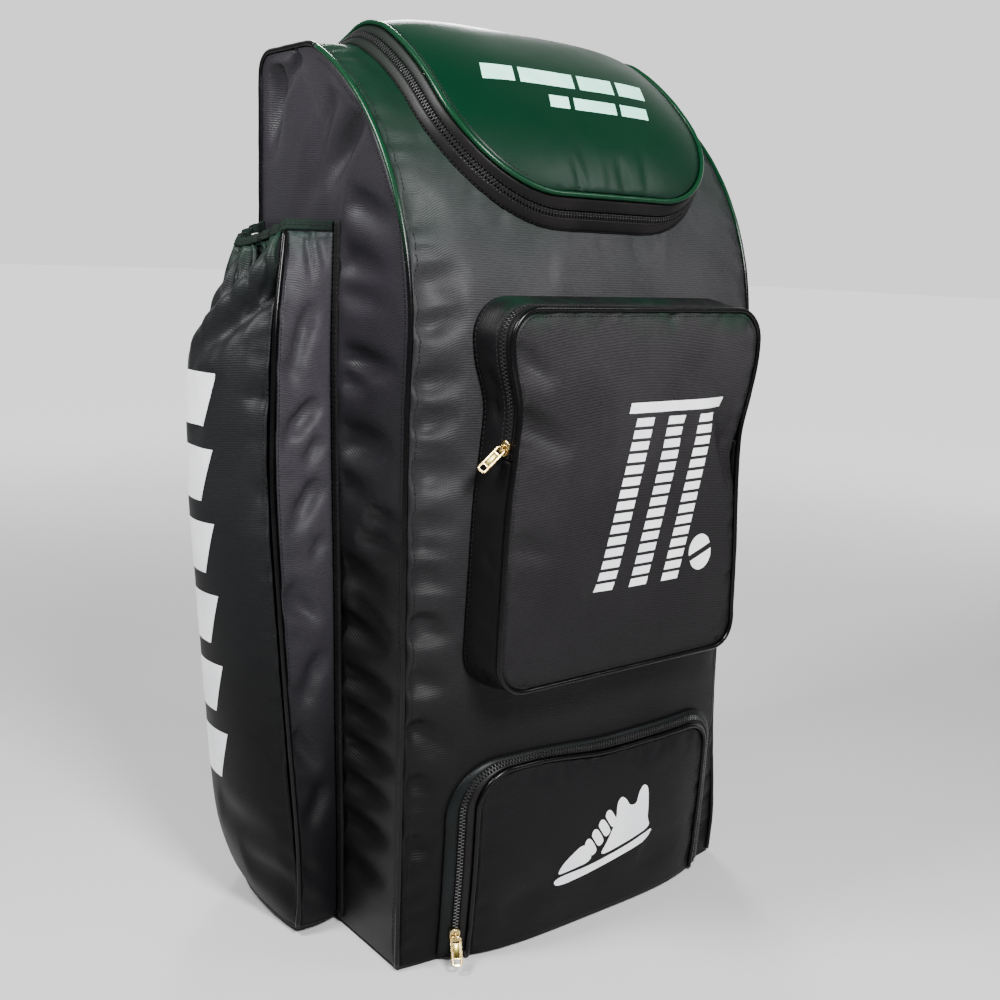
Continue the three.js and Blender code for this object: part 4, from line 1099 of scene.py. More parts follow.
# a small rounded block, moved along X
def blockShape(size, shift, bevel):
    bpy.ops.object.select_all(action="DESELECT")
    bpy.ops.mesh.primitive_cube_add(size=1 * mm, location=(0, 0, 0))
    one = bpy.context.object
    bpy.ops.object.mode_set(mode="EDIT")
    bpy.ops.transform.resize(value=size)
    bpy.ops.transform.translate(value=(shift * mm, 0, 0))
    bpy.ops.object.mode_set(mode="OBJECT")
    bevelAll(one, bevel, 1)
    shape = one.data.copy()
    bpy.data.objects.remove(one)
    return shape


# two teeth of the coil, one from each side
def toothPair(half):
    other = half.copy()
    other.transform(Matrix.Translation((0, 1.6 * mm, 0)) @ Matrix.Rotation(math.pi, 4, "Z"))
    joined = bmesh.new()
    joined.from_mesh(half)
    joined.from_mesh(other)
    joined.to_mesh(half)
    joined.free()
    return half


toothShape = toothPair(blockShape((3.3, 1.5, 1.1), 1.15, 0.35))
stitchShape = blockShape((0.75, 3.1, 0.5), 0, 0.22)


def surfaceOf(pieces):
    made = bmesh.new()
    for piece in pieces:
        made.from_mesh(piece.data)
    tree = BVHTree.FromBMesh(made)
    made.free()
    return tree


# a row of stitches along a path in mm, laid on the pieces beneath it
def stitchRow(name, path, pieces, step=4.3, lift=0.12, closed=False):
    tree = surfaceOf(pieces)
    spots, ways = walk(path, step, closed)
    placed, along, outs = [], [], []
    for spot, way in zip(spots, ways):
        found, normal, _, gap = tree.find_nearest(Vector(spot * mm))
        if found is None or gap > 12 * mm:
            continue
        n = np.array(normal)
        placed.append(np.array(found) / mm + n * lift)
        flatWay = way - n * (way @ n)
        along.append(unit(flatWay))
        outs.append(n)
    piece = copies(name, stitchShape, placed, along, outs)
    place(piece, threadNylon)
    return piece


def zipRun(name, placeOn, way, levels, replaced, ring=False):
    low, high = levels
    rows = wallRows(placeOn, way, (high, 0), (low, 0), 2)
    tape = wallPiece(name, rows, 1.2, zipTape, replaced, "zip_tape", ring)
    middle = (low + high) / 2
    path = [placeOn(*p, middle) for p in way]
    tree = surfaceOf([tape])
    spots, ways = walk(path, 3.2)
    outs, placed = [], []
    for spot in spots:
        found, normal, _, _ = tree.find_nearest(Vector(spot * mm))
        outs.append(np.array(normal))
        placed.append(np.array(found) / mm + np.array(normal) * 0.35)
    along = [unit(w - o * (w @ o)) for w, o in zip(ways, outs)]
    coil = copies(name + "Coil", toothShape, placed, along, outs)
    coil.data.shade_flat()
    place(coil, coilNylon, slot="zip_tape")
    return tape


# the lid
def makeLid():
    points = []
    last = len(lidRows) - 1
    for j, row in enumerate(lidRows):
        dome = lid["dome"] * (1 - (2 * j / last - 1) ** 4)
        points.append([
            lidPlace(row, s, 1, pipingInset, lid["overlap"], dome * (1 - s**4)) for s in lidShares
        ])
    points = np.array(points)
    xGrid, yGrid = points[..., 0], points[..., 1]
    foot = [(p[0], p[1]) for p in points[0]]
    folds = seamPuckers(foot, 1, 13, 24, 5, 1.0, 31)
    depth = foldField(folds, xGrid, yGrid)
    panel = gridPiece("lidPanel", sink(points, depth))
    settle(panel, borderOf(*xGrid.shape), (0.012, 0.014, 0.014), pressure=1.6, cap=4, folds=depth, again=1.0)
    thicken(panel, clothThickness)
    place(panel, lidNylon, "lid_panel", slot="green_nylon")
    way = downRight(lidRows) + acrossFoot(lidRows, lidShares) + upLeft(lidRows)
    low, high = lid["zip"]
    rows = wallRows(lidPlace, way, (low, -seamGap), (0, seamGap), 4, 0.5)
    lower = wallPiece("lidLowerBand", rows, bandThickness, bandVinyl, "lid_lower_band", "band_vinyl")
    rows = wallRows(lidPlace, way, (1, -pipingInset), (high, seamGap), 4, 0.6)
    upper = wallPiece("lidUpperBand", rows, bandThickness, bandVinyl, "lid_upper_band", "band_vinyl")
    zipRun("lidZip", lidPlace, way, lid["zip"], "lid_zip")
    pipingPiece("lidPiping", [lidPlace(*p, 1) for p in way], greenPiping, "lid_piping")
    stitchRow("lidStitches", [lidPlace(*p, 1, pipingInset + 3.5) for p in way], [panel])
    stitchRow("lidBandStitches", [lidPlace(*p, 0.04) for p in way], [lower])
    stitchRow("lidZipStitches", [lidPlace(*p, high + 0.06) for p in way], [upper])
    stitchRow("lidLowStitches", [lidPlace(*p, low - 0.05) for p in way], [lower])
    return panel


lidPanel = makeLid()
print("lid made")


# the front pocket
frontPocketFolds = [
    (-142, 502, -80, 463, 14, 6), (-142, 556, -102, 521, 10, 4), (139, 424, 88, 521, 14, 6),
    (-139, 399, -88, 373, 12, 3), (-60, 330, -20, 345, 16, 2), (60, 470, 20, 500, 16, 1.6),
]


def makeFrontPocket():
    rows = outlineRows(9, 56, 9)
    shares = spread(62, -1, 1)
    points = []
    for row in rows:
        line = []
        for s in shares:
            p = frontPocketPlace(row, s, 1, pipingInset)
            up = (p[2] - frontPocket["foot"]) / frontPocket["height"]
            p[1] -= frontPocket["dome"] * (1 - s**4) * (1 - (2 * up - 1) ** 4)
            line.append(p)
        points.append(line)
    points = np.array(points)
    xGrid, zGrid = points[..., 0], points[..., 2]
    rim = [(p[0], p[2]) for p in (frontPocketPlace(r, s, 1, 3) for r, s in upLeft(rows) + downRight(rows))]
    folds = frontPocketFolds + seamPuckers(rim, -1, 13, 16, 4, 0.8, 41)
    depth = foldField(folds, xGrid, zGrid)
    face = gridPiece("frontPocketFace", sink(points, depth))
    settle(face, borderOf(*xGrid.shape), (0.012, 0, 0.014), pressure=1.5, cap=5, folds=depth, again=1.5)
    thicken(face, clothThickness)
    place(face, pocketNylon, "front_pocket_face", slot="pocket_nylon")

    depth = frontPocket["depth"]
    step = 2 * seamGap / frontPocketSide
    straight = [t for t in spread(56) if abs(t - frontZipEnd) > 0.012]
    straight += [frontZipEnd - step, frontZipEnd, frontZipEnd + step]
    rows = [("foot", t) for t in spread(9)[:-1]]
    rows += [("side", t) for t in sorted(straight)] + [("head", t) for t in spread(9)[1:]]
    over = upLeft(rows) + acrossHead(rows, shares) + downRight(rows)
    around = over + acrossFoot(rows, shares)
    zipped = [r for r in rows if r[0] == "head" or (r[0] == "side" and r[1] > frontZipEnd)]
    arch = upLeft(zipped) + acrossHead(zipped, shares) + downRight(zipped)

    def gussetTop(p):
        plain = p[0][0] == "foot" or (p[0][0] == "side" and p[0][1] < frontZipEnd - step / 2)
        return (1, -pipingInset) if plain else (frontZipLow, -seamGap)

    gussetRows = wallRows(frontPocketPlace, around, gussetTop, (0, 0), 8, 1.2)
    lengths = np.linalg.norm(np.diff(gussetRows[4], axis=0), axis=1).cumsum()
    vGrid = np.concatenate([[0], lengths])[None, :].repeat(9, 0)
    wGrid = np.array(spread(8, 0, depth))[:, None].repeat(len(around), 1)
    rng = random.Random(43)
    dents = []
    for v in np.arange(10, lengths[-1], 26):
        start = (v, rng.uniform(2, 16))
        end = (v + rng.uniform(-14, 14), rng.uniform(22, 37))
        dents.append((*start, *end, rng.uniform(5, 9), rng.uniform(0.8, 2.4)))
    sunk = sink(gussetRows, foldField(dents, vGrid, wGrid))
    gusset = wallPiece(
        "frontPocketGusset", sunk, clothThickness, shadedPocketSideNylon, "front_pocket_gusset",
        "pocket_nylon", True)
    rows = wallRows(frontPocketPlace, arch, (1, -pipingInset), (frontZipHigh, seamGap), 3, 0.4)
    wallPiece(
        "frontPocketBand", rows, bandThickness, shadedPocketSideNylon, "front_pocket_band", "band_vinyl")
    zipRun("frontPocketZip", frontPocketPlace, arch, (frontZipLow, frontZipHigh), "front_pocket_zip")
    rim = [frontPocketPlace(*p, 1) for p in around]
    pipingPiece("frontPocketPiping", rim, pipingVinyl, "front_pocket_piping", ring=True)
    path = [frontPocketPlace(*p, 1, pipingInset + 3) for p in around]
    stitchRow("frontPocketStitches", path, [face], closed=True)
    path = [frontPocketPlace(*p, frontZipLow - 0.06) for p in arch]
    stitchRow("frontPocketZipStitches", path, [gusset])
    path = [frontPocketPlace(*p, 0.07) for p in around]
    stitchRow("frontPocketRootStitches", path, [gusset], closed=True)
    return face


frontFace = makeFrontPocket()
print("front pocket made")


# the shoe pocket
def makeShoePocket():
    last = len(shoeRows) - 1
    points = []
    for j, row in enumerate(shoeRows):
        up = j / last
        points.append([
            shoePlace(row, s, 1, pipingInset, shoePocket["dome"] * (1 - s**4) * (1 - up**3))
            for s in shoeShares
        ])
    points = np.array(points)
    xGrid, zGrid = points[..., 0], points[..., 2]
    edge = upLeft(shoeRows) + downRight(shoeRows)
    rim = [(p[0], p[2]) for p in (shoePlace(r, s, 1, 3) for r, s in edge)]
    folds = seamPuckers(rim, -1, 18, 20, 6, 0.8, 51)
    folds += [(-110, 40, -40, 60, 18, 1.5), (60, 60, 120, 40, 18, 1.5)]
    depth = foldField(folds, xGrid, zGrid)
    panel = gridPiece("shoePocketPanel", sink(points, depth))
    settle(panel, borderOf(*xGrid.shape), (0.008, 0, 0.01), pressure=1.0, cap=3, folds=depth, again=1.3)
    thicken(panel, clothThickness)
    place(panel, pocketNylon, "shoe_pocket_panel", slot="pocket_nylon")
    way = upLeft(shoeRows) + acrossHead(shoeRows, shoeShares) + downRight(shoeRows)
    low, high = shoePocket["zip"]
    rows = wallRows(shoePlace, way, (low, -seamGap), (0, 0), 3, 0.3)
    outer = wallPiece(
        "shoePocketOuterBand", rows, bandThickness, shoeBandVinyl, "shoe_pocket_outer_band", "band_vinyl")
    rows = wallRows(shoePlace, way, (1, -pipingInset - 2 * seamGap), (high, seamGap), 3, 0.3)
    wallPiece(
        "shoePocketInnerBand", rows, bandThickness, shoeInnerVinyl, "shoe_pocket_inner_band", "band_vinyl")
    zipRun("shoePocketZip", shoePlace, way, shoePocket["zip"], "shoe_pocket_zip")
    pipingPiece("shoePocketPiping", [shoePlace(*p, 1) for p in way], pipingVinyl, "shoe_pocket_piping")
    stitchRow("shoePocketStitches", [shoePlace(*p, 1, pipingInset + 3) for p in way], [panel])
    stitchRow("shoeBandStitches", [shoePlace(*p, 0.06) for p in way], [outer])
    stitchRow("shoeZipStitches", [shoePlace(*p, low - 0.05) for p in way], [outer])
    return panel


shoePanel = makeShoePocket()
print("shoe pocket made")


# the side pocket
sideGathers = [
    (0.06, 0.022, 1.1), (0.15, 0.026, 1.3), (0.25, 0.03, 1.0), (0.34, 0.024, 1.4), (0.45, 0.03, 1.1),
    (0.55, 0.026, 1.5), (0.65, 0.03, 1.0), (0.74, 0.024, 1.4), (0.83, 0.026, 1.2), (0.92, 0.022, 1.2),
]
sideFolds = [
    (214, 645, 130, 520, 11, 7), (192, 648, 100, 520, 10, -5), (243, 620, 196, 530, 12, 6),
    (150, 645, 70, 540, 12, 5), (90, 640, 50, 540, 12, 3), (246, 560, 200, 470, 14, 3),
    (244, 440, 190, 380, 14, 3),
    (160, 520, 120, 400, 18, 2.5), (140, 60, 225, 40, 18, 3.5), (40, 300, 60, 200, 16, 2.5),
    (240, 250, 190, 180, 16, 2.5), (120, 110, 200, 90, 18, 2.5),
]


def gatherBumps(share, fromHead):
    total = 0.6
    for at, width, deep in sideGathers:
        width *= 1 + fromHead / 160
        total -= 2 * deep * math.exp(-((share - at) / width) ** 2)
    return -total


def makeSidePocket():
    rows, columns = 132, 56
    inset = 1.2 * pipingInset / sidePocket["length"]
    points = np.array([
        [outerPoint(u, h * clothHead, 0, gatherBumps) for u in spread(columns, 0, 1 - inset)]
        for h in spread(rows)
    ])
    around = np.linalg.norm(np.diff(points, axis=1), axis=2).cumsum(1)
    uGrid = np.concatenate([np.zeros((rows + 1, 1)), around], 1)
    zGrid = points[..., 2]
    edge = [(float(uGrid[j, -1]), float(zGrid[j, -1])) for j in range(2, rows, 3)]
    folds = sideFolds + seamPuckers(edge, 1, 20, 26, 6, 1.3, 61)
    depth = foldField(folds, uGrid, zGrid)
    panel = gridPiece("sidePocketPanel", sink(points, depth))
    settle(panel, borderOf(*zGrid.shape), (0.004, 0.012, 0.016), pressure=1.2, cap=5, folds=depth, again=1.0)
    thicken(panel, clothThickness)
    place(panel, sideNylon, "side_pocket_panel", slot="pocket_nylon")

    columns = 14
    low = pipingInset / sidePocket["gusset"] * 1.5
    points = np.array([
        [gussetPoint(u, h * clothHead) for u in spread(columns, low, 1)] for h in spread(rows)
    ])
    xGrid, zGrid = points[..., 0], points[..., 2]
    rng = random.Random(67)
    folds = [(-220, 580, -248, 502, 7, 4.5), (-214, 496, -254, 456, 7, 6), (-212, 462, -230, 436, 6, 4.5)]
    folds += [(-214, 424, -246, 378, 8, 6), (-212, 374, -224, 350, 6, 3), (-250, 330, -214, 292, 9, 5)]
    folds += [(-214, 268, -240, 215, 9, 4), (-248, 196, -216, 160, 9, 4), (-214, 140, -236, 100, 9, 4)]
    for z in range(50, 620, 24):
        start = (-256 + rng.uniform(0, 10), z)
        end = (-210 + rng.uniform(-10, 6), z - rng.uniform(10, 40))
        folds.append((*start, *end, 7, rng.uniform(0.6, 2)))
    depth = foldField(folds, xGrid, zGrid)
    mouth = ((-240, 52, 3.5), (-232, 34, 2.5), (-224, 60, 3.5), (-216, 40, 3), (-208, 50, 2.5))
    tucks = [(x, 655, x + rng.uniform(-3, 5), 655 - length, 3, deep) for x, length, deep in mouth]
    depth += foldField(tucks, xGrid, zGrid)
    gusset = gridPiece("sidePocketGusset", sink(points, depth))
    settle(gusset, borderOf(*zGrid.shape), (0.015, 0, 0.02), pressure=0.8, cap=4, folds=depth, again=0.9)
    thicken(gusset, clothThickness)
    place(gusset, gussetNylon, "side_pocket_gusset", slot="pocket_nylon")

    points = [pipingAt(h * clothHead) for h in spread(130)]
    pipingPiece("sidePocketPiping", points, pipingVinyl, "side_pocket_piping", 0.05)
    return panel, gusset


sidePanel, sideGusset = makeSidePocket()
print("side pocket made")


def makePocketTrim():
    section = [outerPoint(u, 0) for u in spread(40, 0, 1)] + [gussetPoint(u, 0) for u in spread(6)[1:]]
    low = sidePocket["foot"] - seamGap - clothThickness
    points = [(p[0], p[1], low) for p in section]
    slab("sidePocketBase", points, clothThickness, 0.6, "side_pocket_base", "pocket_nylon")

    # the elastic mouth follows the gathers and is ribbed across
    def atMouth(share, height, out):
        return outerPoint(share, height, out, gatherBumps)

    low = 1 - sidePocket["elastic"] / sidePocketHeight
    rows = []
    for h in spread(6, low, 1):
        line = [atMouth(u, h, seamGap) for u in spread(150, 0.01, 1)]
        line += [gussetPoint(u, h) for u in spread(34, 0, 0.98)[1:]]
        rows.append(line)
    rows = np.array(rows)
    length = np.concatenate([[0], np.linalg.norm(np.diff(rows[3], axis=0), axis=1).cumsum()])
    ribs = 0.45 * np.sin(length * 2 * math.pi / 4.2) ** 2
    ribs += 0.4 * np.sin(length * 0.31) * np.sin(length * 0.13)
    sunk = sink(rows, ribs[None, :].repeat(7, 0))
    elastic = wallPiece("sidePocketElastic", sunk, 3, elasticTape, "side_pocket_elastic", "elastic")
    middle = (low + 1) / 2
    path = [atMouth(u, middle, seamGap) for u in spread(60, 0.02, 1)]
    path += [gussetPoint(u, middle) for u in spread(12, 0, 0.95)[1:]]
    stitchRow("sidePocketElasticStitches", path, [elastic])

    x = -halfWidth - seamGap - 2
    rows = []
    for h in spread(150):
        y = seamY(h) - clothThickness - seamGap
        z = sidePocket["foot"] + sidePocketHeight * h
        rows.append([[x - 0.5 * math.sin(math.pi * t), y - 9 * t, z] for t in spread(6)])
    rows = np.array(rows)
    rng = random.Random(71)
    yGrid, zGrid = rows[..., 1], rows[..., 2]
    ripples = [(-40, z, 0, z + rng.uniform(-4, 4), 4, rng.uniform(0, 0.7)) for z in range(20, 640, 14)]
    sunk = sink(rows, foldField(ripples, yGrid, zGrid))
    binding = wallPiece("sidePocketBinding", sunk, 2, zipTape, "side_pocket_binding", "zip_tape")
    for k, off in enumerate((3.4, 9.6)):
        path = [
            (x, seamY(h) - seamGap - off, sidePocket["foot"] + sidePocketHeight * h) for h in spread(60)
        ]
        stitchRow(f"bindingStitches_{k}", path, [binding], 4.6)


makePocketTrim()
heights = [h * clothHead for h in spread(80, 0.01, 0.985)]
stitchRow("sidePocketStitches", [outerPoint(0.965, h) for h in heights], [sidePanel])
stitchRow("sideGussetStitches", [gussetPoint(0.1, h) for h in heights], [sideGusset])
for name, side, panel in (("left", -1, leftPanel), ("right", 1, rightPanel)):
    runs = spread(160, 12, shoulderEnd - 6)
    path = [edgePoint(side, r, 8) for r in runs]
    stitchRow(f"sideSeamStitches_{name}", path, [panel])
    path = [frontPoint(edgePoint(side, r)[0] - side * 8, r) for r in runs]
    stitchRow(f"frontSeamStitches_{name}", path, [frontPanel])
print("trim made")


# straps and handle on the back
straps = {
    "width": 62,
    "thickness": 9,
    "spacing": 150,
    "head": 712,
    "length": 390,
    "standOff": 24,
    "anchor": 34,
    "webbing": 26,
    "webbingFoot": 60,
    "webbingStandOff": 12,
}


def strapRows(x, width, head, foot, thickness, standOut, columns, steps, crown=0.0):
    near = backY + seamGap + thickness
    rows = []
    for z in spread(steps, foot, head):
        fromEnd = min(head - z, z - foot)
        y = near + standOut * smooth(fromEnd / (2 * straps["anchor"]) - 0.5)
        rows.append([
            [x + width / 2 - width * t, y - crown * (2 * t - 1) ** 4, z] for t in spread(columns)
        ])
    return rows


def makeStraps():
    foot = straps["head"] - straps["length"]
    for name, side in (("left", -1), ("right", 1)):
        x = side * straps["spacing"] / 2
        rows = strapRows(
            x, straps["width"], straps["head"], foot, straps["thickness"], straps["standOff"], 26, 130, 2.2)
        rows = np.array(rows)
        xGrid, zGrid = rows[..., 0] - x, rows[..., 2]
        # bound edges and three sewn channels
        channels = sum(np.exp(-((xGrid - at) / 1.6) ** 2) for at in (-13, 0, 13)) * 1.4
        channels += 1.2 * np.exp(-((np.abs(xGrid) - 25.5) / 1.2) ** 2)
        channels *= np.clip((straps["head"] - zGrid) / 30, 0, 1) * np.clip((zGrid - foot) / 30, 0, 1)
        pad = gridPiece(f"shoulderStrap_{name}", sink(rows, channels))
        thicken(pad, straps["thickness"] - 1)
        bevelAll(pad, 2, 3)
        place(pad, strapMesh, f"shoulder_strap_{name}", slot="strap_mesh")
        rows = strapRows(
            x, straps["webbing"], foot - seamGap, straps["webbingFoot"], 1.8,
            straps["webbingStandOff"], 8, 90)
        web = wallPiece(
            f"strapWebbing_{name}", rows, 1.8, strapMesh, f"strap_webbing_{name}", "strap_mesh")
    middle = body["height"] - 34
    rows = []
    for z in spread(10, middle - 12, middle + 12):
        line = []
        for x in spread(60, 60, -60):
            off = 26 * smooth(2.4 * (1 - abs(2 * x / 120)) - 0.4)
            crown = 1.2 * (1 - ((z - middle) / 12) ** 2) - 1.2
            line.append([x, backY + seamGap + 4 + off + crown, z])
        rows.append(line)
    handle = wallPiece("grabHandle", rows, 2.8, strapMesh, "grab_handle", "strap_mesh")


makeStraps()
print("straps made")


# zip sliders and pull tabs
slider = {
    "length": 13,
    "width": 9,
    "thickness": 3,
    "bridge": 2.4,
    "bar": 1.3,
    "tab": 1.5,
    "clearance": 0.55,
    "tabLength": 27,
    "tabWidth": 10,
    "rim": 1.9,
    "hole": 4.5,
}
eyeHeight = slider["tab"] + 2 * slider["clearance"]
eyeLength = 2 * (slider["tab"] / 2 + 2 * slider["clearance"])
sliderTop = seamGap + slider["thickness"]


def sliderAxes(side, at, towardsPull, towardsBody, lean=0.0):
    along = unit(towardsPull - at)
    back = unit(towardsBody - at)
    out = unit(np.cross(back, along) * -side)
    turn = Matrix.Rotation(side * lean, 3, Vector(out))
    along = np.array(turn @ Vector(along))
    across = np.cross(along, out)
    axes = Matrix.Identity(4)
    for i, v in enumerate((across, along, out, at * mm)):
        for k in range(3):
            axes[k][i] = v[k]
    return axes


def addBox(low, high):
    size = [(h - a) * mm for a, h in zip(low, high)]
    centre = [(h + a) / 2 * mm for a, h in zip(low, high)]
    bpy.ops.object.select_all(action="DESELECT")
    bpy.ops.mesh.primitive_cube_add(size=1, location=(0, 0, 0))
    box = bpy.context.object
    bpy.ops.object.mode_set(mode="EDIT")
    bpy.ops.transform.resize(value=size)
    bpy.ops.transform.translate(value=centre)
    bpy.ops.object.mode_set(mode="OBJECT")
    return box


def selectWhere(piece, test, kind="FACE"):
    bpy.ops.object.mode_set(mode="EDIT")
    bpy.ops.mesh.select_all(action="DESELECT")
    bpy.ops.mesh.select_mode(type=kind)
    mesh = bmesh.from_edit_mesh(piece.data)
    things = mesh.faces if kind == "FACE" else mesh.edges
    for thing in things:
        thing.select = bool(test(thing))
    mesh.select_flush_mode()
    bmesh.update_edit_mesh(piece.data)


def upright(edge):
    a, b = edge.verts
    return abs(a.co.z - b.co.z) > 0.8 * (a.co - b.co).length


def cut(piece, cutter):
    hole = piece.modifiers.new("cut", "BOOLEAN")
    hole.operation = "DIFFERENCE"
    hole.object = cutter
    hole.solver = "EXACT"
    applyModifiers(piece)
    bpy.data.objects.remove(cutter)


def sliderShape():
    w, l = slider["width"] / 2, slider["length"] / 2
    shell = addBox((-w, -l, seamGap), (w, l, sliderTop))
    selectWhere(shell, upright, "EDGE")
    bpy.ops.mesh.bevel(offset=3.2 * mm, segments=5)
    selectWhere(shell, lambda f: f.normal.z > 0.9)
    bpy.ops.mesh.inset(thickness=1.2 * mm)
    bpy.ops.transform.translate(value=(0, 0, 0.35 * mm))
    bpy.ops.object.mode_set(mode="OBJECT")
    # the slit in which the coil runs
    for low, high in ((-w - 1, -w + 1.2), (w - 1.2, w + 1)):
        cut(shell, addBox((low, -l + 1.5, seamGap + 1.0), (high, l - 1.5, seamGap + 1.8)))
    bevelAll(shell, 0.25)
    reach = eyeLength / 2 + slider["bar"]
    top = sliderTop + eyeHeight
    half = slider["bridge"] / 2
    arch = addBox((-half, -reach, sliderTop - 0.5), (half, reach, top + slider["bar"]))
    eye = addBox((-2 * half, -eyeLength / 2, sliderTop - 1), (2 * half, eyeLength / 2, top))
    cut(arch, eye)
    bevelAll(arch, 0.5, 3)
    bpy.ops.object.select_all(action="DESELECT")
    arch.select_set(True)
    shell.select_set(True)
    bpy.context.view_layer.objects.active = shell
    bpy.ops.object.join()
    only(shell)
    bpy.ops.object.shade_smooth_by_angle(angle=math.radians(35))
    mesh = shell.data.copy()
    bpy.data.objects.remove(shell)
    return mesh


def tabShape():
    bar = slider["tab"] / 2
    half = slider["tabWidth"] / 2
    end = slider["tabLength"] - bar
    plate = addBox((-half, -bar, -bar), (half, end, bar))
    selectWhere(plate, upright, "EDGE")
    bpy.ops.mesh.bevel(offset=3.5 * mm, segments=6)
    bpy.ops.object.mode_set(mode="OBJECT")
    reach = eyeLength / 2 + slider["bar"]
    clear = math.hypot(reach, eyeHeight / 2 + slider["bar"]) + slider["clearance"]
    inner = half - slider["rim"]
    window = addBox((-inner, bar, -3), (inner, clear + bar, 3))
    selectWhere(window, upright, "EDGE")
    bpy.ops.mesh.bevel(offset=0.8 * mm, segments=3)
    bpy.ops.object.mode_set(mode="OBJECT")
    cut(plate, window)
    holeEnd = end - slider["rim"]
    hole = addBox((-inner, holeEnd - slider["hole"], -3), (inner, holeEnd, 3))
    selectWhere(hole, upright, "EDGE")
    bpy.ops.mesh.bevel(offset=2.1 * mm, segments=5)
    bpy.ops.object.mode_set(mode="OBJECT")
    cut(plate, hole)
    # a sunk panel between the openings, on both faces
    low, high = clear + bar + 1.5, holeEnd - slider["hole"] - 1.3
    for face in (-1, 1):
        sunk = addBox(
            (-inner + 0.3, low, min(face * (bar - 0.35), face * 3)),
            (inner - 0.3, high, max(face * (bar - 0.35), face * 3)))
        cut(plate, sunk)
    bevelAll(plate, 0.22)
    only(plate)
    bpy.ops.object.shade_smooth_by_angle(angle=math.radians(35))
    enamelled = [
        p.index
        for p in plate.data.polygons
        if abs(p.normal.z) > 0.9 and low * mm < p.center.y < high * mm and abs(p.center.z) < (bar - 0.2) * mm
    ]
    mesh = plate.data.copy()
    bpy.data.objects.remove(plate)
    return mesh, enamelled


sliderMesh = sliderShape()
tabMesh, enamelFaces = tabShape()


def placeCopy(name, mesh, axes, replaced, rides=bodyName):
    own = mesh.copy()
    own.transform(axes)
    piece = bpy.data.objects.new(name, own)
    bpy.context.collection.objects.link(piece)
    place(piece, goldMetal, replaced, rides, "gold_metal")
    return piece


def makeSlider(name, axes, swing):
    placeCopy(name + "Slider", sliderMesh, axes, nodeOf[name] + "_slider")
    hinge = Matrix.Translation((0, 0, (sliderTop + eyeHeight / 2) * mm)) @ Matrix.Rotation(swing, 4, "X")
    pull = placeCopy(
        name + "Pull", tabMesh, axes @ hinge, nodeOf[name] + "_pull", pullBodies[name])
    pull.data.materials.append(oliveEnamel)
    for i in enamelFaces:
        pull.data.polygons[i].material_index = 1


nodeOf = {"frontPocket": "front_pocket", "shoePocket": "shoe_pocket"}
pullBodies = {"frontPocket": "front_pull", "shoePocket": "shoe_pull"}


def makeSliders():
    share = frontZipEnd + slider["length"] * 0.75 / frontPocketSide
    level = (frontZipLow + frontZipHigh) / 2

    def onFront(dt, l):
        return frontPocketPlace(("side", share + dt), -1, l)

    axes = sliderAxes(-1, onFront(0, level), onFront(-0.02, level), onFront(0, 0), math.radians(24))
    makeSlider("frontPocket", axes, math.radians(32))

    low, high = shoePocket["zip"]
    level = (low + high) / 2
    at = (shoePocket["slider"] - panelFoot) / (shoePocket["head"] - shoePocket["corner"])

    def onShoe(dt, l):
        return shoePlace(("side", at + dt), -1, l)

    axes = sliderAxes(-1, onShoe(0, level), onShoe(-0.05, level), onShoe(0, 0))
    makeSlider("shoePocket", axes, math.radians(55))

    low, high = lid["zip"]
    level = (low + high) / 2

    def onLid(dt, l):
        return lidPlace(("side", lid["sliderShare"] + dt), 1, l)

    axes = sliderAxes(1, onLid(0, level), onLid(-0.05, level), onLid(0, 0))
    placeCopy("lidSlider", sliderMesh, axes, "lid_slider")


makeSliders()
print("sliders made")


# prints
def printOn(name, outlines, target, origin, right, up, ink, grid=4.0, lift=0.25):
    made = bmesh.new()
    for outline in outlines:
        face = made.faces.new([made.verts.new((x * mm, y * mm, 0)) for x, y in outline])
        face.normal_update()
        if face.normal.z < 0:
            face.normal_flip()
    bmesh.ops.triangulate(made, faces=made.faces[:])
    xs = [v.co.x / mm for v in made.verts]
    ys = [v.co.y / mm for v in made.verts]
    for low, high, way in ((min(xs), max(xs), (1, 0, 0)), (min(ys), max(ys), (0, 1, 0))):
        at = low + grid
        while at < high:
            geom = made.verts[:] + made.edges[:] + made.faces[:]
            bmesh.ops.bisect_plane(made, geom=geom, plane_co=Vector(way) * at * mm, plane_no=way)
            at += grid
    bmesh.ops.remove_doubles(made, verts=made.verts, dist=0.02 * mm)
    tree = surfaceOf([target])
    right, up = unit(np.array(right, float)), unit(np.array(up, float))
    out = np.cross(right, up)
    missed = []
    for v in made.verts:
        start = np.array(origin) + (right * v.co.x + up * v.co.y) / mm + out * 120
        found, normal, _, _ = tree.ray_cast(Vector(start * mm), Vector(-out))
        if found is None:
            missed.append(v)
            continue
        v.co = found + normal * lift * mm
    bmesh.ops.delete(made, geom=missed, context="VERTS")
    mesh = bpy.data.meshes.new(name)
    made.to_mesh(mesh)
    made.free()
    mesh.shade_smooth()
    piece = bpy.data.objects.new(name, mesh)
    bpy.context.collection.objects.link(piece)
    return place(piece, ink)


def bar(x, y, width, height, lean=0.0):
    corners = ((-1, -1), (1, -1), (1, 1), (-1, 1))
    return [(x + i * width / 2 + j * lean * height / 2, y + j * height / 2) for i, j in corners]


def disc(x, y, radius, low=0.0, high=2 * math.pi, steps=40):
    return [(x + radius * math.cos(a), y + radius * math.sin(a)) for a in spread(steps, low, high)[:-1]]


# an outline with its corners cut round
def rounded(outline, times=2):
    for _ in range(times):
        following = outline[1:] + outline[:1]
        outline = [
            (mix(a[0], b[0], t), mix(a[1], b[1], t)) for a, b in zip(outline, following) for t in (0.22, 0.78)
        ]
    return outline


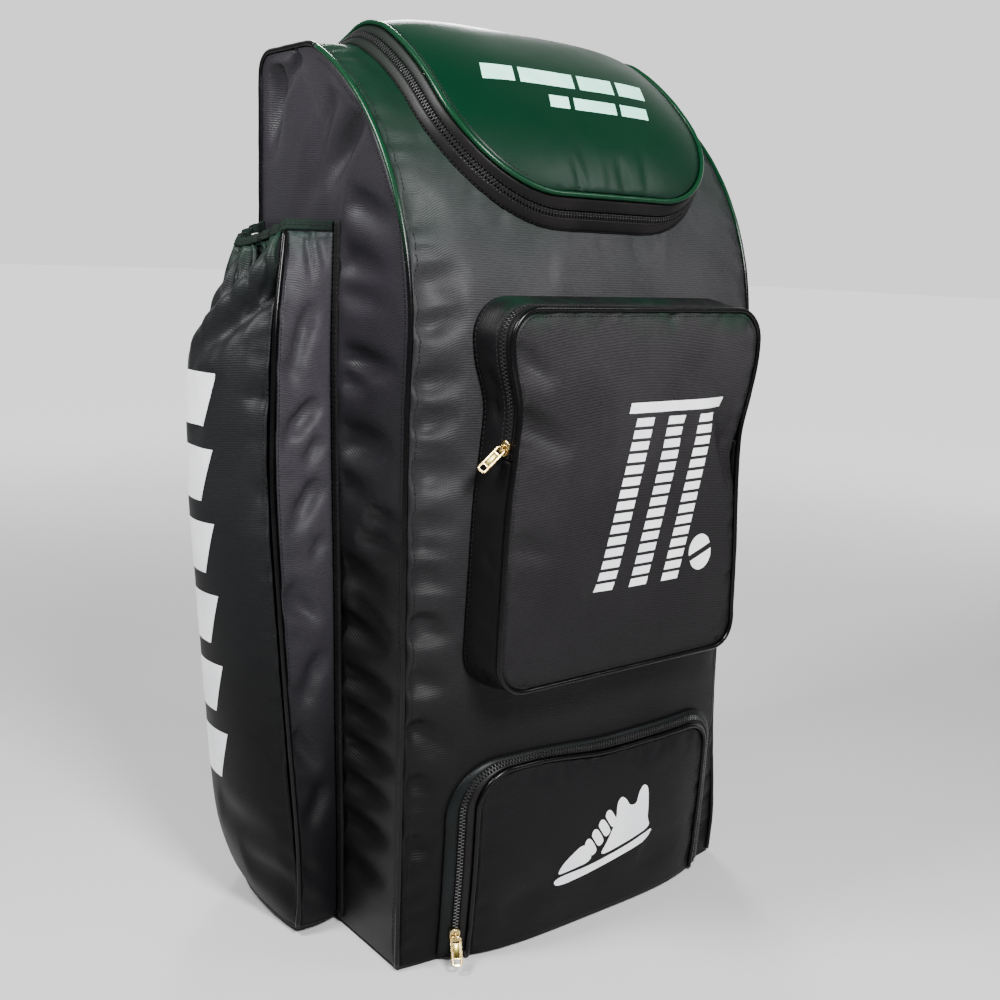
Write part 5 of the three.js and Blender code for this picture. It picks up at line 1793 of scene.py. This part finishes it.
def makePrints():
    # a wicket of three striped stumps and a ball on the front pocket
    outlines = []
    for x in (-40, 0, 40):
        for i in range(15):
            outlines.append(bar(x + (i - 7) * 2.6, (i - 7) * 10.2, 21, 7.2, 0.26))
    outlines.append(bar(21, 84, 122, 9, 0.26))
    outlines.append(disc(60, -52, 15, 0.35, 0.35 + math.pi))
    outlines.append(disc(61.5, -56, 15, 0.35 + math.pi, 0.35 + 2 * math.pi))
    printOn("pocketPrint", outlines, frontFace, (20, -205, 418), (1, 0, 0), (0, 0, 1), whiteInk)
    # slanted blocks down the side pocket
    outlines = [bar(0, 176 - i * 66, 56, 47, 0.3) for i in range(6)]
    printOn("sidePrint", outlines, sidePanel, (-290, 62, 318), (0, -1, 0), (0, 0, 1), whiteInk)
    # slanted bars on the lid
    outlines = [bar(x, 15, w, 21, 0.35) for x, w in ((-76, 34), (-22, 62), (36, 42), (80, 34))]
    outlines += [bar(x, -16, w, 15, 0.35) for x, w in ((-24, 22), (18, 50), (66, 34))]
    lean = math.radians(44.6)
    up = (0, math.sin(lean), math.cos(lean))
    printOn("lidPrint", outlines, lidPanel, (-4, -83, 768), (1, 0, 0), up, mintInk)
    # a plain trainer on the shoe pocket
    outlines = [
        [
            (-63, -17), (-59, -24), (-20, -26), (30, -25), (57, -23), (64, -14), (60, -13), (30, -17),
            (-20, -18), (-54, -14),
        ],
        [(-58, -11), (-53, -3), (-42, 3), (-29, 8), (-23, 6), (-14, -14), (-50, -12)],
        [
            (-8, -14), (4, -1), (16, 17), (18, 34), (24, 39), (30, 34), (34, 25), (43, 23), (47, 34),
            (54, 40), (60, 35), (59, 14), (57, 2), (61, -10), (30, -13),
        ],
    ]
    lace = ((0, 0), (2, -4), (8, -16), (14, -14), (15, -10), (8, 4), (3, 5))
    for i in range(4):
        outlines.append([(-25 + 9 * i + x, 7 + 6.5 * i + y) for x, y in lace])
    outlines = [rounded(list(reversed(o))) for o in outlines]
    printOn("shoePrint", outlines, shoePanel, (8, -165, 82), (1, 0, 0.14), (-0.14, 0, 1), whiteInk)


makePrints()
print("prints made")


# floor, camera and light
studio = {
    "backdrop": 1.3,
    "room": 0.19,
    "facing": (0.618, 0.786, 0.0),
    "edge": (0.5, 0.85),
    "floorFade": (0.7, 3.2),
}


# how bright the room is in a direction: pale behind the bag, dim round the rest
def backdropGlow(tree, way):
    product = {"operation": "DOT_PRODUCT", 0: way, 1: studio["facing"]}
    facing = addNode(tree, "VectorMath", product)["Value"]
    low, high = studio["edge"]
    glow = {1: low, 2: high, 3: studio["room"], 4: studio["backdrop"]}
    return addNode(tree, "MapRange", {**ramp, 0: facing, **glow})[0]


def makeFloor():
    bpy.ops.object.select_all(action="DESELECT")
    bpy.ops.mesh.primitive_plane_add(size=60, location=(0, 0, 0))
    floor = bpy.context.object
    floor.name = "floor"
    material, tree = startMaterial("glowingPaleFloor")
    seat = addNode(tree, "TexCoord")["Object"]
    soft = addNode(tree, "TexNoise", {"Scale": 3.0, "Vector": seat})[0]
    low, high = hexColour("#bcbcbc"), hexColour("#c2c2c2")
    colour = addNode(tree, "Mix", {**blend, 0: soft, 6: low, 7: high})[2]
    # the floor glows, though it is no lamp: its emission rises with distance from the bag and is strongest
    # behind it
    away = addNode(tree, "VectorMath", {"operation": "LENGTH", 0: seat})["Value"]
    low, high = studio["floorFade"]
    far = addNode(tree, "MapRange", {**ramp, 0: away, 1: low, 2: high})[0]
    way = addNode(tree, "VectorMath", {"operation": "NORMALIZE", 0: seat})[0]
    glow = addNode(tree, "Math", {**times, 0: far, 1: backdropGlow(tree, way)})[0]
    constants = {"Roughness": 0.9, "Specular IOR Level": 0.1, "Emission Color": (1, 1, 1, 1)}
    finishMaterial(tree, constants, {"Base Color": colour, "Emission Strength": glow})
    floor.data.materials.append(material)


def makeCamera():
    data = bpy.data.cameras.new("camera")
    camera = bpy.data.objects.new("camera", data)
    bpy.context.collection.objects.link(camera)
    right = (0.790257, -0.611635, 0.037371)
    up = (0.091806, 0.178474, 0.979652)
    ahead = (0.60586, 0.770746, -0.197192)
    axes = Matrix.Identity(4)
    for k in range(3):
        axes[k][0], axes[k][1], axes[k][2] = right[k], up[k], -ahead[k]
    axes.translation = (-0.73971, -0.93925, 0.62476)
    camera.matrix_world = axes
    data.lens = 43.54
    data.sensor_width = 36
    data.clip_start = 0.01
    bpy.context.scene.camera = camera


def addLight(name, place, target, size, power, colour="#ffffff"):
    data = bpy.data.lights.new(name, "AREA")
    data.shape = "RECTANGLE"
    data.size, data.size_y = size
    data.energy = power
    data.color = hexColour(colour)[:3]
    light = bpy.data.objects.new(name, data)
    light.location = place
    light.rotation_euler = (Vector(target) - Vector(place)).to_track_quat("-Z", "Y").to_euler()
    bpy.context.collection.objects.link(light)


def makeLight():
    world = bpy.data.worlds.new("studio")
    bpy.context.scene.world = world
    world.use_nodes = True
    tree = world.node_tree
    back = tree.nodes["Background"]
    way = addNode(tree, "TexCoord")["Generated"]
    tree.links.new(backdropGlow(tree, way), back.inputs[1])
    back.inputs[0].default_value = (1, 1, 1, 1)
    addLight("key", (-0.35, -1.25, 1.35), (0, -0.1, 0.65), (0.4, 0.4), 55)
    addLight("left", (-1.05, 0.1, 1.45), (-0.2, 0, 0.6), (0.35, 0.45), 34)
    addLight("right", (0.9, -1.1, 1.5), (0.1, -0.1, 0.6), (0.4, 0.6), 10)
    addLight("rear", (0.9, 1.5, 1.5), (0.1, 0.1, 0.5), (0.5, 0.5), 26)


makeFloor()
makeCamera()
makeLight()
